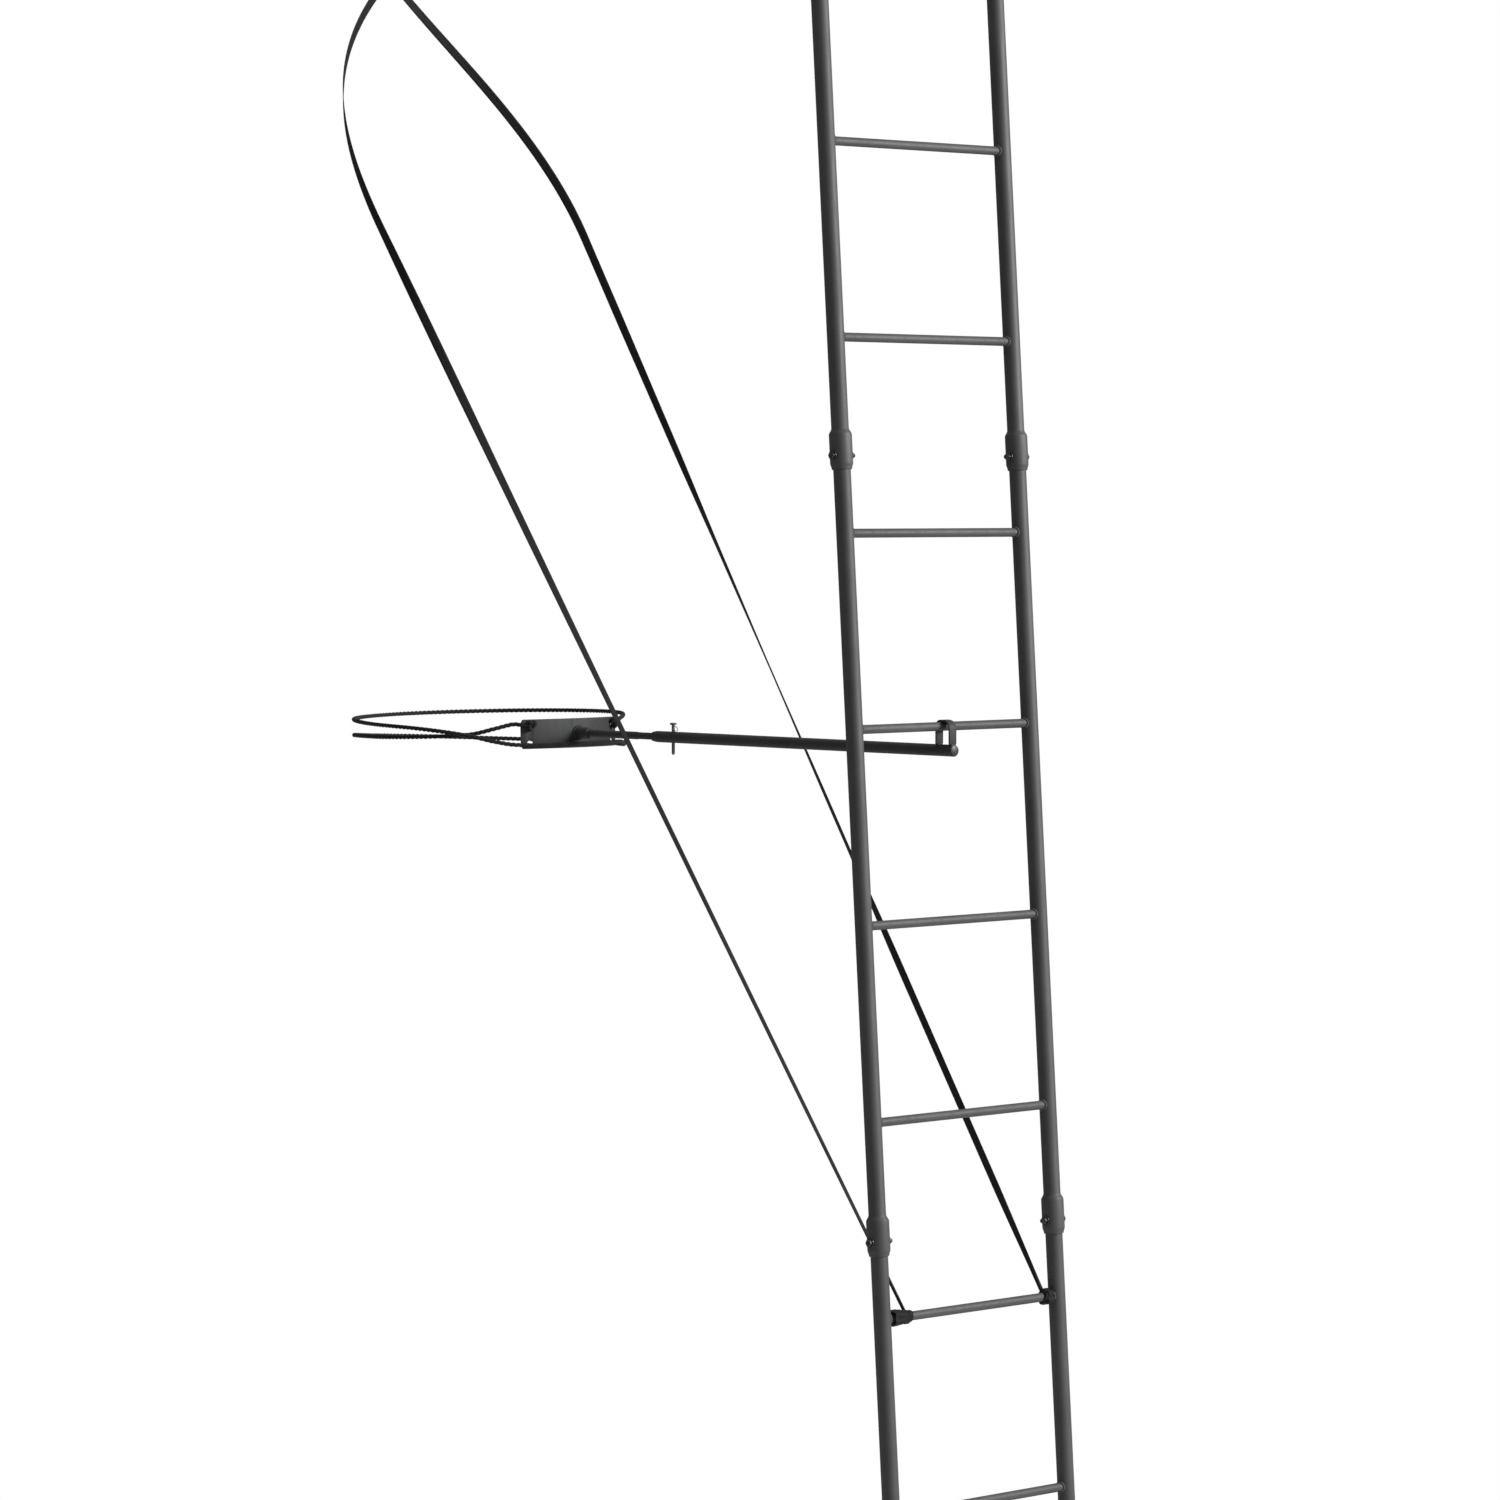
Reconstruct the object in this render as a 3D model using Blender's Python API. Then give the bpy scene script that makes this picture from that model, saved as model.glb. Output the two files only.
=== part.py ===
"""Ladder tree stand, built up against a standing trunk.

Frame: the origin is on the trunk's axis at ground level, +Z runs up the trunk, and the
climber faces +Y, so -X is their left hand. The trunk itself is not part of the stand.
"""

from math import acos, asin, atan2, ceil, cos, hypot, pi, radians, sin, sqrt, tan

import bmesh
import bpy
from mathutils import Matrix, Vector

# ---------------------------------------------------------------- driving dimensions, metres
GAP = 0.0003  # left between welded or touching pieces

TRUNK_R = 0.265
LEAN = radians(2.4)  # of the ladder, its top towards the trunk
FOOT_DISTANCE = 1.39  # ladder foot to trunk axis

# Ladder
RUNG_PITCH = 0.356
RUNGS_PER_SECTION = 4
SECTIONS = ("lower", "middle", "upper")
RAIL_SPACING = 0.455  # between rail axes
RAIL_R = 0.016
RAIL_WALL = 0.002
RUNG_R = 0.0083
RUNG_WALL = 0.0014
RUNG_START = 0.203  # from a joint up to the first rung above it
SOCKET_R = 0.021
SOCKET_LENGTH = 0.075
SOCKET_TAPER = 0.012
SOCKET_LIP_WALL = 0.002
SPIGOT_DEPTH = 0.022  # how far a rail's top passes the joint line
FIT_CLEARANCE = 0.0005  # on radius, wherever one tube plugs into another
JOINT_BOLT_DROP = 0.012  # bolt below the joint line
FOOT_PLATE = (0.090, 0.120, 0.006)
FOOT_COLLAR_R = 0.0205
FOOT_COLLAR_LENGTH = 0.060

# Fasteners
BOLT_R = 0.004
BOLT_HEAD_R = 0.0075
BOLT_HEAD_THICKNESS = 0.0053
NUT_THICKNESS = 0.0065
BOLT_TAIL = 0.004
HOLE_CLEARANCE = 0.0004  # on radius

# Platform
SIDE_TUBE = 0.030
SIDE_TUBE_WALL = 0.002
PLATFORM_FRONT = -1.255
SIDE_TUBE_TAIL = 0.0189  # of the side tubes past the lower trunk rest's ends
SPIGOT_LENGTH = 0.090
CROSS_TUBE = 0.025
CROSS_TUBE_WALL = 0.0016
PLATFORM_WIDTH = 0.600
FRONT_CROSS_Y = -1.235
REAR_CROSS_Y = -0.400
DECK_THICKNESS = 0.003
DECK_CELL = 0.090  # nominal pitch of the grate's openings
DECK_BAR = 0.018  # width of the bars between them
STAY_R = 0.0095
STAY_LUG = 0.005  # thickness of the flattened ends
STAY_LUG_LENGTH = 0.034
STAY_LUG_TAPER = 0.030
STAY_LUG_WIDEN = 1.25
STAY_LUG_END = 0.014  # lug past the bolt
STAY_DROP = 0.470  # lower bolt below the side tube's middle
STAY_REACH = 0.480  # along Y, from the lower bolt to the top end

# Seat and shooting rail
UPRIGHT_TUBE = 0.025
UPRIGHT_WALL = 0.002
UPRIGHT_Y = -0.345
UPRIGHT_HEIGHT = 0.955
SEAT_ARM_TUBE = 0.020
SEAT_ARM_WALL = 0.0016
SEAT_ARM_LENGTH = 0.340
SEAT_HEIGHT = 0.430  # deck to the arms' middle
SEAT_AXIS_Y = -0.405
SEAT_AXIS_RISE = 0.003  # hinge rod above the arms' middle
HINGE_ROD_R = 0.006
HINGE_BARREL_R = 0.010
SEAT_PAN_OVERHANG = 0.0225  # past the middles of the arms
SEAT_PAN_DEPTH = 0.300
SEAT_PAN_THICKNESS = 0.003
SEAT_PAN_SETBACK = 0.010  # pan's rear edge in front of the hinge
SEAT_LEAF = 0.024  # width of the leaf that joins pan and barrel
SEAT_LEAF_INSET = 0.010  # leaf short of each end of the hinge rod
CUSHION_SIDE_ROOM = 0.0075  # to the uprights, when the seat is folded up
CUSHION_DEPTH = 0.285
CUSHION_THICKNESS = 0.050
CUSHION_SETBACK = 0.016
RAIL_PIVOT_DROP = 0.045  # pivot below the uprights' tops
ARM_RAIL_R = 0.011
ARM_RAIL_REACH = 0.660
ARM_RAIL_TAIL = 0.022
ARM_RAIL_BEND = 0.070
ARM_RAIL_SIDE_GAP = 0.0015
FOAM_R = 0.018
FOAM_CLEARANCE = 0.0004
FOAM_START = 0.170  # bare rail from the pivot to the foam

# Trunk rests and the upper strap
REST_THICKNESS = 0.006
LOWER_REST_HEIGHT = 0.028
UPPER_REST_HEIGHT = 0.050
UPPER_REST_HALF_ANGLE = radians(34)
UPPER_REST_DROP = 0.130  # below the uprights' tops
REST_POST_R = 0.011
UPPER_WEB_WIDTH = 0.025
UPPER_WEB_THICKNESS = 0.002
RATCHET_ANGLE = radians(50)  # round the trunk from the front, on the climber's left
RATCHET_LENGTH = 0.075
RATCHET_CHEEK = 0.024
RATCHET_SHEET = 0.002
RATCHET_SPOOL_R = 0.0065
RATCHET_SPOOL_END = 0.003  # spool past the handle's cheeks
RATCHET_SIDE_ROOM = 0.003  # webbing to the frame's cheeks
RATCHET_HANDLE_GAP = 0.0006
RATCHET_HANDLE_LENGTH = 0.115
UPPER_WEB_START = radians(3)  # webbing's near end past the ratchet's frame
UPPER_WEB_END = radians(1)  # webbing's far end short of the rest

# Brace
BRACE_RUNG = 7  # counted from the ground
BRACE_RISE = radians(1.6)
BRACE_DROP = 0.044  # tube axis below the rung axis
BRACE_TUBE_R = 0.011
BRACE_INNER_R = 0.0075
BRACE_INNER_WALL = 0.0015
BRACE_FRONT = 0.029  # outer tube in front of the rung
BRACE_OUTER_LENGTH = 0.824
BRACE_NOSE = 0.014
BRACE_NOSE_WALL = 0.0014
BRACE_INNER_LENGTH = 0.610
BRACE_PIN_INSET = 0.056
BRACE_EXTEND = 0.200
BRACE_RETRACT = 0.100
SADDLE_WIDTH = 0.018
SADDLE_THICKNESS = 0.0035
SADDLE_CLEARANCE = 0.0006
SADDLE_REACH = 0.0220  # inner face of the front leg, in front of the rung's axis
SADDLE_SHOULDER_R = 0.0140
PIN_R = 0.0032
PIN_ABOVE = 0.028
PIN_BELOW = 0.034
PIN_HEAD = 0.0065
CLAW_THICKNESS = 0.004
CLAW_HEIGHT = 0.058
CLAW_STANDOFF = 0.004  # claw plate off the bark
CLAW_HALF_ANGLE = radians(27)
CLAW_NECK_R = 0.0115
CLAW_NECK_LENGTH = 0.036
CLAW_EYE_R = 0.006
CLAW_EYE_ANGLE = radians(23)
CLAW_EYE_Z = 0.018
ROPE_R = 0.0045
ROPE_OFF_BARK = 0.001  # between the rope and the bark
ROPE_OFF_CLAW = 0.0015
ROPE_OFF_ROPE = 0.0008

# Stabiliser straps
STRAP_RUNG = 4
STRAP_R = 0.010  # half the webbing's width
STRAP_SLOPE = 1.55  # rise over run of the free stretch
LEFT_STRAP_X = -0.165
RIGHT_STRAP_X = 0.194
STRAP_START = 0.0105  # from the rung's axis
STRAP_END_ANGLE = radians(303)
STRAP_END_CLEARANCE = 0.005  # below the side tube
STRAP_OFF_BARK = 0.0005  # and between the straps, where they cross
STRAP_END_SLOPE = 0.5  # of the average slope behind the trunk
STRAP_STEP = 0.050

# ---------------------------------------------------------------- values worked out from them
SECTION_LENGTH = RUNGS_PER_SECTION * RUNG_PITCH
LADDER_LENGTH = SECTION_LENGTH * len(SECTIONS)
RAIL_BORE = RAIL_R - RAIL_WALL
SOCKET_BORE = RAIL_R + FIT_CLEARANCE
SIDES = (("left", -1), ("right", 1))
RAIL_X = RAIL_SPACING / 2

LADDER_BASE = Vector((0, -FOOT_DISTANCE, 0))
LADDER_TURN = Matrix.Rotation(-LEAN, 4, "X")

# The side tubes' undersides clear the rails' tops, whose ends are square to the lean.
SIDE_UNDERSIDE = LADDER_LENGTH * cos(LEAN) + RAIL_R * sin(LEAN) + GAP
SIDE_MIDDLE_Z = SIDE_UNDERSIDE + SIDE_TUBE / 2
SIDE_TOP = SIDE_UNDERSIDE + SIDE_TUBE
CROSS_Z = SIDE_TOP + GAP + CROSS_TUBE / 2
DECK_Z = CROSS_Z + CROSS_TUBE / 2 + GAP
DECK_TOP = DECK_Z + DECK_THICKNESS
UPRIGHT_TOP = SIDE_TOP + GAP + UPRIGHT_HEIGHT
UPPER_REST_Z = UPRIGHT_TOP - UPPER_REST_DROP

# The lower rest's arc spans the gap between the side tubes, which run on past its ends.
LOWER_REST_OUTER = TRUNK_R + REST_THICKNESS
LOWER_REST_HALF_ANGLE = asin((RAIL_X - SIDE_TUBE / 2 - 2 * GAP) / LOWER_REST_OUTER)
PLATFORM_REAR = -LOWER_REST_OUTER * cos(LOWER_REST_HALF_ANGLE) + SIDE_TUBE_TAIL


def on_ladder(x, along):
    """World place of a point in the ladder's plane."""
    return LADDER_BASE + LADDER_TURN @ Vector((x, 0, along))


def rung_along(number):
    section, step = divmod(number - 1, RUNGS_PER_SECTION)
    return section * SECTION_LENGTH + RUNG_START + step * RUNG_PITCH


def round_trunk(angle, radius, z):
    """A point round the trunk. Angle 0 is the climber's side, and it grows to their left."""
    return Vector((-radius * sin(angle), -radius * cos(angle), z))


# ---------------------------------------------------------------- tools


def clear_scene():
    for obj in list(bpy.data.objects):
        bpy.data.objects.remove(obj, do_unlink=True)


def make_material(name, colour, roughness, metallic=0.0):
    material = bpy.data.materials.new(name)
    material.use_nodes = True
    shader = material.node_tree.nodes["Principled BSDF"]
    shader.inputs["Base Color"].default_value = (*colour, 1)
    shader.inputs["Roughness"].default_value = roughness
    shader.inputs["Metallic"].default_value = metallic
    return material


def make_materials():
    return {
        "steel": make_material("charcoal powder coat", (0.065, 0.065, 0.068), 0.48, 0.2),
        "brace": make_material("dark bracket enamel", (0.040, 0.043, 0.041), 0.50, 0.2),
        "bolt": make_material("blackened zinc", (0.050, 0.050, 0.052), 0.38, 0.9),
        "webbing": make_material("black webbing", (0.012, 0.012, 0.013), 0.80),
        "rope": make_material("dark rope", (0.030, 0.024, 0.020), 0.90),
        "foam": make_material("black foam", (0.016, 0.016, 0.017), 0.90),
        "cushion": make_material("seat cloth", (0.035, 0.037, 0.033), 0.85),
    }


def frame_empty(name, location=(0, 0, 0), rotation=(0, 0, 0)):
    empty = bpy.data.objects.new(name, None)
    bpy.context.scene.collection.objects.link(empty)
    empty.location = location
    empty.rotation_euler = rotation
    return empty


def place(name, data, material=None, parent=None, location=(0, 0, 0), rotation=(0, 0, 0)):
    obj = bpy.data.objects.new(name, data)
    bpy.context.scene.collection.objects.link(obj)
    obj.parent = parent
    obj.location = location
    obj.rotation_euler = rotation
    if material and not data.materials:
        data.materials.append(material)
    return obj


def finish_mesh(name, bm, smooth=True):
    bmesh.ops.remove_doubles(bm, verts=bm.verts, dist=1e-6)
    bmesh.ops.recalc_face_normals(bm, faces=bm.faces)
    mesh = bpy.data.meshes.new(name)
    bm.to_mesh(mesh)
    bm.free()
    if smooth:
        mesh.shade_smooth()
        mesh.set_sharp_from_angle(angle=radians(35))
    return mesh


def turned_bmesh(profile, sides, start=0.0):
    """A body turned about Z from (radius, height) points. A profile that starts and ends on
    the axis makes a solid, and any other is closed on itself and makes a ring."""
    bm = bmesh.new()
    verts = [bm.verts.new((r * cos(start), r * sin(start), z)) for r, z in profile]
    solid = profile[0][0] == 0 and profile[-1][0] == 0
    ends = verts[1:] if solid else verts[1:] + verts[:1]
    edges = [bm.edges.new(pair) for pair in zip(verts, ends)]
    bmesh.ops.spin(
        bm, geom=verts + edges, axis=(0, 0, 1), cent=(0, 0, 0), steps=sides, angle=2 * pi,
        use_merge=True,
    )
    bmesh.ops.remove_doubles(bm, verts=bm.verts, dist=1e-6)
    return bm


def turned_mesh(name, profile, sides=16):
    return finish_mesh(name, turned_bmesh(profile, sides))


def rod_profile(radius, low, high):
    return [(0, low), (radius, low), (radius, high), (0, high)]


def ring_profile(outer, inner, low, high):
    return [(outer, low), (outer, high), (inner, high), (inner, low)]


def square_tube_mesh(name, side, wall, length):
    """A square tube along Z, standing on its origin, open at both ends."""
    corner = sqrt(2) / 2
    profile = ring_profile(side * corner, (side - 2 * wall) * corner, 0, length)
    return finish_mesh(name, turned_bmesh(profile, 4, pi / 4), smooth=False)


def box_mesh(name, size, low=(0, 0, 0)):
    """A box from its low corner."""
    bm = bmesh.new()
    middle = [edge + side / 2 for edge, side in zip(low, size)]
    bmesh.ops.create_cube(bm, size=1, matrix=Matrix.LocRotScale(middle, None, size))
    return finish_mesh(name, bm, smooth=False)


def prism_mesh(name, outline, depth, smooth=True):
    """An outline in XY, extruded along Z."""
    bm = bmesh.new()
    face = bm.faces.new([bm.verts.new((x, y, 0)) for x, y in outline])
    grown = bmesh.ops.extrude_face_region(bm, geom=[face])
    top = [v for v in grown["geom"] if isinstance(v, bmesh.types.BMVert)]
    bmesh.ops.translate(bm, verts=top, vec=(0, 0, depth))
    return finish_mesh(name, bm, smooth)


def arc_bar_mesh(name, inner, thickness, half_angle, height, steps=14):
    """A bar bent round the trunk's front, centred on z = 0."""
    bm = bmesh.new()
    corners = [
        bm.verts.new(round_trunk(-half_angle, radius, z))
        for radius, z in (
            (inner, -height / 2),
            (inner + thickness, -height / 2),
            (inner + thickness, height / 2),
            (inner, height / 2),
        )
    ]
    face = bm.faces.new(corners)
    # Spinning about Z by a negative angle runs from the climber's right to their left.
    bmesh.ops.spin(
        bm, geom=[face], axis=(0, 0, 1), cent=(0, 0, 0), steps=steps, angle=-2 * half_angle,
        use_duplicate=False,
    )
    bmesh.ops.holes_fill(bm, edges=[e for e in bm.edges if e.is_boundary], sides=4)
    return finish_mesh(name, bm)


def fastener_mesh(name, grip, radius=BOLT_R, head=BOLT_HEAD_R):
    """A hexagon bolt along Z with its nut on: the head's underside is at 0, the nut's at grip."""
    nut_end = grip + NUT_THICKNESS
    profile = [
        (0, -BOLT_HEAD_THICKNESS),
        (head, -BOLT_HEAD_THICKNESS),
        (head, 0),
        (radius, 0),
        (radius, grip),
        (head, grip),
        (head, nut_end),
        (radius, nut_end),
        (radius, nut_end + BOLT_TAIL),
        (0, nut_end + BOLT_TAIL),
    ]
    bm = turned_bmesh(profile, 12)
    for vert in bm.verts:
        turn = atan2(vert.co.y, vert.co.x) / (pi / 6)
        if hypot(vert.co.x, vert.co.y) > radius * 1.2 and round(turn) % 2:
            vert.co.xy *= cos(pi / 6)  # every second point onto the hexagon's flats
    return finish_mesh(name, bm, smooth=False)


def path_curve(name, points, radius, resolution=2, caps=True):
    """A round bar along points."""
    curve = bpy.data.curves.new(name, "CURVE")
    curve.dimensions = "3D"
    curve.bevel_depth = radius
    curve.bevel_resolution = resolution
    curve.use_fill_caps = caps
    spline = curve.splines.new("POLY")
    spline.points.add(len(points) - 1)
    for point, place_at in zip(spline.points, points):
        point.co = (*place_at, 1)
    return curve


def path_mesh(name, points, radius, resolution=3, caps=True):
    """The same bar as a mesh, so that it can be cut or given a wall."""
    guide = place(name + "_guide", path_curve(name + "_guide", points, radius, resolution, caps))
    bpy.context.view_layer.update()
    graph = bpy.context.evaluated_depsgraph_get()
    mesh = bpy.data.meshes.new_from_object(guide.evaluated_get(graph))
    curve = guide.data
    bpy.data.objects.remove(guide)
    bpy.data.curves.remove(curve)
    mesh.name = name
    bm = bmesh.new()
    bm.from_mesh(mesh)
    bmesh.ops.remove_doubles(bm, verts=bm.verts, dist=1e-6)
    bmesh.ops.recalc_face_normals(bm, faces=bm.faces)
    bm.to_mesh(mesh)
    bm.free()
    mesh.shade_smooth()
    mesh.set_sharp_from_angle(angle=radians(35))
    return mesh


def as_helper(obj):
    obj.hide_render = True
    obj.display_type = "WIRE"
    return obj


def combine(obj, helper, operation="DIFFERENCE"):
    modifier = obj.modifiers.new(f"{operation.lower()} {helper.name}", "BOOLEAN")
    modifier.operation = operation
    modifier.object = as_helper(helper)


def round_cutter(name, radius, length, **where):
    """A cutter along Z, centred on its origin."""
    mesh = turned_mesh(name, rod_profile(radius, -length / 2, length / 2), 12)
    return as_helper(place(name, mesh, **where))


def rounded_corner(corner, before, after, radius, steps=7):
    """Points of the arc that rounds a corner between two others."""
    corner, before, after = Vector(corner), Vector(before), Vector(after)
    towards, away = (before - corner).normalized(), (after - corner).normalized()
    half = towards.angle(away) / 2
    centre = corner + (towards + away).normalized() * radius / sin(half)
    start = corner + towards * radius / tan(half) - centre
    end = corner + away * radius / tan(half) - centre
    return [
        centre + start.slerp(end, k / steps).normalized() * radius for k in range(steps + 1)
    ]


def smooth_path(points, step):
    """Points every step or so along a smooth curve through the given ones."""
    points = [Vector(p) for p in points]
    line = [2 * points[0] - points[1], *points, 2 * points[-1] - points[-2]]
    path = []
    for a, b, c, d in zip(line, line[1:], line[2:], line[3:]):
        count = max(1, ceil((c - b).length / step))
        for k in range(count):
            t = k / count
            path.append(
                0.5
                * (
                    2 * b
                    + (c - a) * t
                    + (2 * a - 5 * b + 4 * c - d) * t**2
                    + (3 * b - a - 3 * c + d) * t**3
                )
            )
    return path + [points[-1]]


# ---------------------------------------------------------------- ladder

ALONG_X = (0, pi / 2, 0)
ALONG_Y = (-pi / 2, 0, 0)


def rail_mesh(name, low, top, joint):
    """One rail of one section. Above a joint it starts with the socket that the rail below
    plugs into, and elsewhere it is a plain tube."""
    if joint is None:
        return turned_mesh(name, ring_profile(RAIL_R, RAIL_BORE, low, top))
    mouth = joint - SOCKET_LENGTH / 2
    shoulder = joint + SOCKET_LENGTH / 2
    floor = joint + SPIGOT_DEPTH + GAP
    return turned_mesh(
        name,
        [
            (SOCKET_BORE + SOCKET_LIP_WALL, mouth),
            (SOCKET_R, mouth + SOCKET_TAPER),
            (SOCKET_R, shoulder - SOCKET_TAPER),
            (RAIL_R, shoulder),
            (RAIL_R, top),
            (RAIL_BORE, top),
            (RAIL_BORE, floor),
            (SOCKET_BORE, floor),
            (SOCKET_BORE, mouth),
        ],
    )


def rung_mesh():
    """A thin tube whose ends are coped to the rails."""
    sides = 14
    reach = RAIL_R + GAP
    inner = RUNG_R - RUNG_WALL
    bm = turned_bmesh(ring_profile(RUNG_R, inner, -1, 1), sides)
    # Turned along local Z, which lies along the ladder's X; local Y stays the ladder's Y.
    for vert in bm.verts:
        end = RAIL_X - sqrt(reach**2 - vert.co.y**2)
        vert.co.z = end if vert.co.z > 0 else -end
    return finish_mesh("rung", bm)


def bolt_hole_across(name, along, x, parent):
    return round_cutter(
        name, BOLT_R + HOLE_CLEARANCE, 4 * SOCKET_R, parent=parent, location=(x, 0, along),
        rotation=ALONG_X,
    )


def build_ladder(materials, stay_along):
    ladder = frame_empty("ladder_frame", LADDER_BASE, (-LEAN, 0, 0))
    last = len(SECTIONS) - 1
    foot_low = FOOT_PLATE[2] + RAIL_R * tan(LEAN) + 2 * GAP
    for side, sign in SIDES:
        x = sign * RAIL_X
        joints = [SECTION_LENGTH * number for number in range(1, len(SECTIONS))]
        holes = [
            bolt_hole_across(f"{side}_joint_hole_{n}", joint - JOINT_BOLT_DROP, x, ladder)
            for n, joint in enumerate(joints)
        ]
        stay_hole = bolt_hole_across(f"{side}_stay_hole", stay_along, x, ladder)
        for n, section in enumerate(SECTIONS):
            joint = joints[n - 1] if n else None
            top = LADDER_LENGTH if n == last else joints[n] + SPIGOT_DEPTH
            name = f"{side}_rail_{section}"
            mesh = rail_mesh(name, foot_low, top, joint)
            rail = place(name, mesh, materials["steel"], ladder, (x, 0, 0))
            for hole in holes[max(n - 1, 0) : n + 1]:
                combine(rail, hole)
            if n == last:
                combine(rail, stay_hole)
        build_joint_bolts(materials, ladder, side, sign, joints)
        build_foot(materials, side, x)

    mesh = rung_mesh()
    for number in range(1, len(SECTIONS) * RUNGS_PER_SECTION + 1):
        place(
            f"rung_{number:02d}", mesh, materials["steel"], ladder, (0, 0, rung_along(number)),
            ALONG_X,
        )
    return ladder


def build_joint_bolts(materials, ladder, side, sign, joints):
    """One bolt through each socket, its head on the ladder's outer side."""
    mesh = fastener_mesh("joint_bolt", 2 * (SOCKET_R + GAP))
    for n, joint in enumerate(joints):
        start = sign * (RAIL_X + SOCKET_R + GAP)
        place(
            f"{side}_joint_bolt_{SECTIONS[n]}", mesh, materials["bolt"], ladder,
            (start, 0, joint - JOINT_BOLT_DROP), (0, -sign * pi / 2, 0),
        )


def build_foot(materials, side, x):
    """A level sole plate with a collar that follows the rail's lean."""
    width, depth, thickness = FOOT_PLATE
    mesh = box_mesh(f"{side}_foot", FOOT_PLATE, (-width / 2, -depth / 2, 0))
    where = on_ladder(x, 0)
    foot = place(f"{side}_foot", mesh, materials["steel"], location=where)
    collar = turned_mesh(
        f"{side}_foot_collar",
        ring_profile(FOOT_COLLAR_R, SOCKET_BORE, thickness / 2, FOOT_COLLAR_LENGTH),
    )
    helper = place(f"{side}_foot_collar", collar, location=where, rotation=(-LEAN, 0, 0))
    combine(foot, helper, "UNION")


# ---------------------------------------------------------------- platform


def build_platform(materials, ladder):
    length = PLATFORM_REAR - PLATFORM_FRONT
    for side, sign in SIDES:
        x = sign * RAIL_X
        name = f"{side}_side_tube"
        mesh = square_tube_mesh(name, SIDE_TUBE, SIDE_TUBE_WALL, length)
        tube = place(
            name, mesh, materials["steel"], location=(x, PLATFORM_FRONT, SIDE_MIDDLE_Z),
            rotation=ALONG_Y,
        )
        spigot_top = (SIDE_UNDERSIDE + SIDE_TUBE_WALL / 2) / cos(LEAN)
        spigot = turned_mesh(
            f"{side}_head_spigot",
            rod_profile(RAIL_BORE - FIT_CLEARANCE, LADDER_LENGTH - SPIGOT_LENGTH, spigot_top),
            12,
        )
        combine(tube, place(f"{side}_head_spigot", spigot, None, ladder, (x, 0, 0)), "UNION")

    middle = (FRONT_CROSS_Y + REAR_CROSS_Y) / 2
    for where, y in (("front", FRONT_CROSS_Y), ("middle", middle), ("rear", REAR_CROSS_Y)):
        name = f"{where}_cross_tube"
        mesh = square_tube_mesh(name, CROSS_TUBE, CROSS_TUBE_WALL, PLATFORM_WIDTH)
        place(
            name, mesh, materials["steel"], location=(-PLATFORM_WIDTH / 2, y, CROSS_Z),
            rotation=ALONG_X,
        )
    build_deck(materials)

    mesh = arc_bar_mesh(
        "platform_trunk_rest", TRUNK_R, REST_THICKNESS, LOWER_REST_HALF_ANGLE,
        LOWER_REST_HEIGHT, 18,
    )
    place("platform_trunk_rest", mesh, materials["steel"], location=(0, 0, SIDE_MIDDLE_Z))


def build_deck(materials):
    """A grate: a grid of cells, each inset and opened, then given its thickness."""
    depth = REAR_CROSS_Y - FRONT_CROSS_Y + CROSS_TUBE
    columns, rows = (round(size / DECK_CELL) for size in (PLATFORM_WIDTH, depth))
    bm = bmesh.new()
    size = Vector((PLATFORM_WIDTH / 2, depth / 2, 1))
    bmesh.ops.create_grid(
        bm, x_segments=columns, y_segments=rows, size=1,
        matrix=Matrix.Diagonal((*size, 1)),
    )
    cells = bm.faces[:]
    bmesh.ops.inset_individual(bm, faces=cells, thickness=DECK_BAR / 2, use_even_offset=True)
    bmesh.ops.delete(bm, geom=cells, context="FACES_KEEP_BOUNDARY")
    grown = bmesh.ops.extrude_face_region(bm, geom=bm.faces[:])
    top = [v for v in grown["geom"] if isinstance(v, bmesh.types.BMVert)]
    bmesh.ops.translate(bm, verts=top, vec=(0, 0, DECK_THICKNESS))
    mesh = finish_mesh("deck_grate", bm, smooth=False)
    middle = (FRONT_CROSS_Y + REAR_CROSS_Y) / 2
    place("deck_grate", mesh, materials["steel"], location=(0, middle, DECK_Z))


def stay_mesh(name, length, inward):
    """A tube along Z from its lower bolt, both ends pressed flat against its inner side."""
    low, high = -STAY_LUG_END, length
    rings = [
        low,
        STAY_LUG_LENGTH,
        STAY_LUG_LENGTH + STAY_LUG_TAPER,
        high - STAY_LUG_LENGTH - STAY_LUG_TAPER,
        high - STAY_LUG_LENGTH,
        high,
    ]
    profile = [(0, low), *((STAY_R, z) for z in rings), (0, high)]
    bm = turned_bmesh(profile, 12)
    for vert in bm.verts:
        if not STAY_LUG_LENGTH + GAP < vert.co.z < high - STAY_LUG_LENGTH - GAP:
            share = (vert.co.x * inward + STAY_R) / (2 * STAY_R)
            vert.co.x = inward * (STAY_R - STAY_LUG * (1 - share))
            vert.co.y *= STAY_LUG_WIDEN
    return finish_mesh(name, bm)


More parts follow.
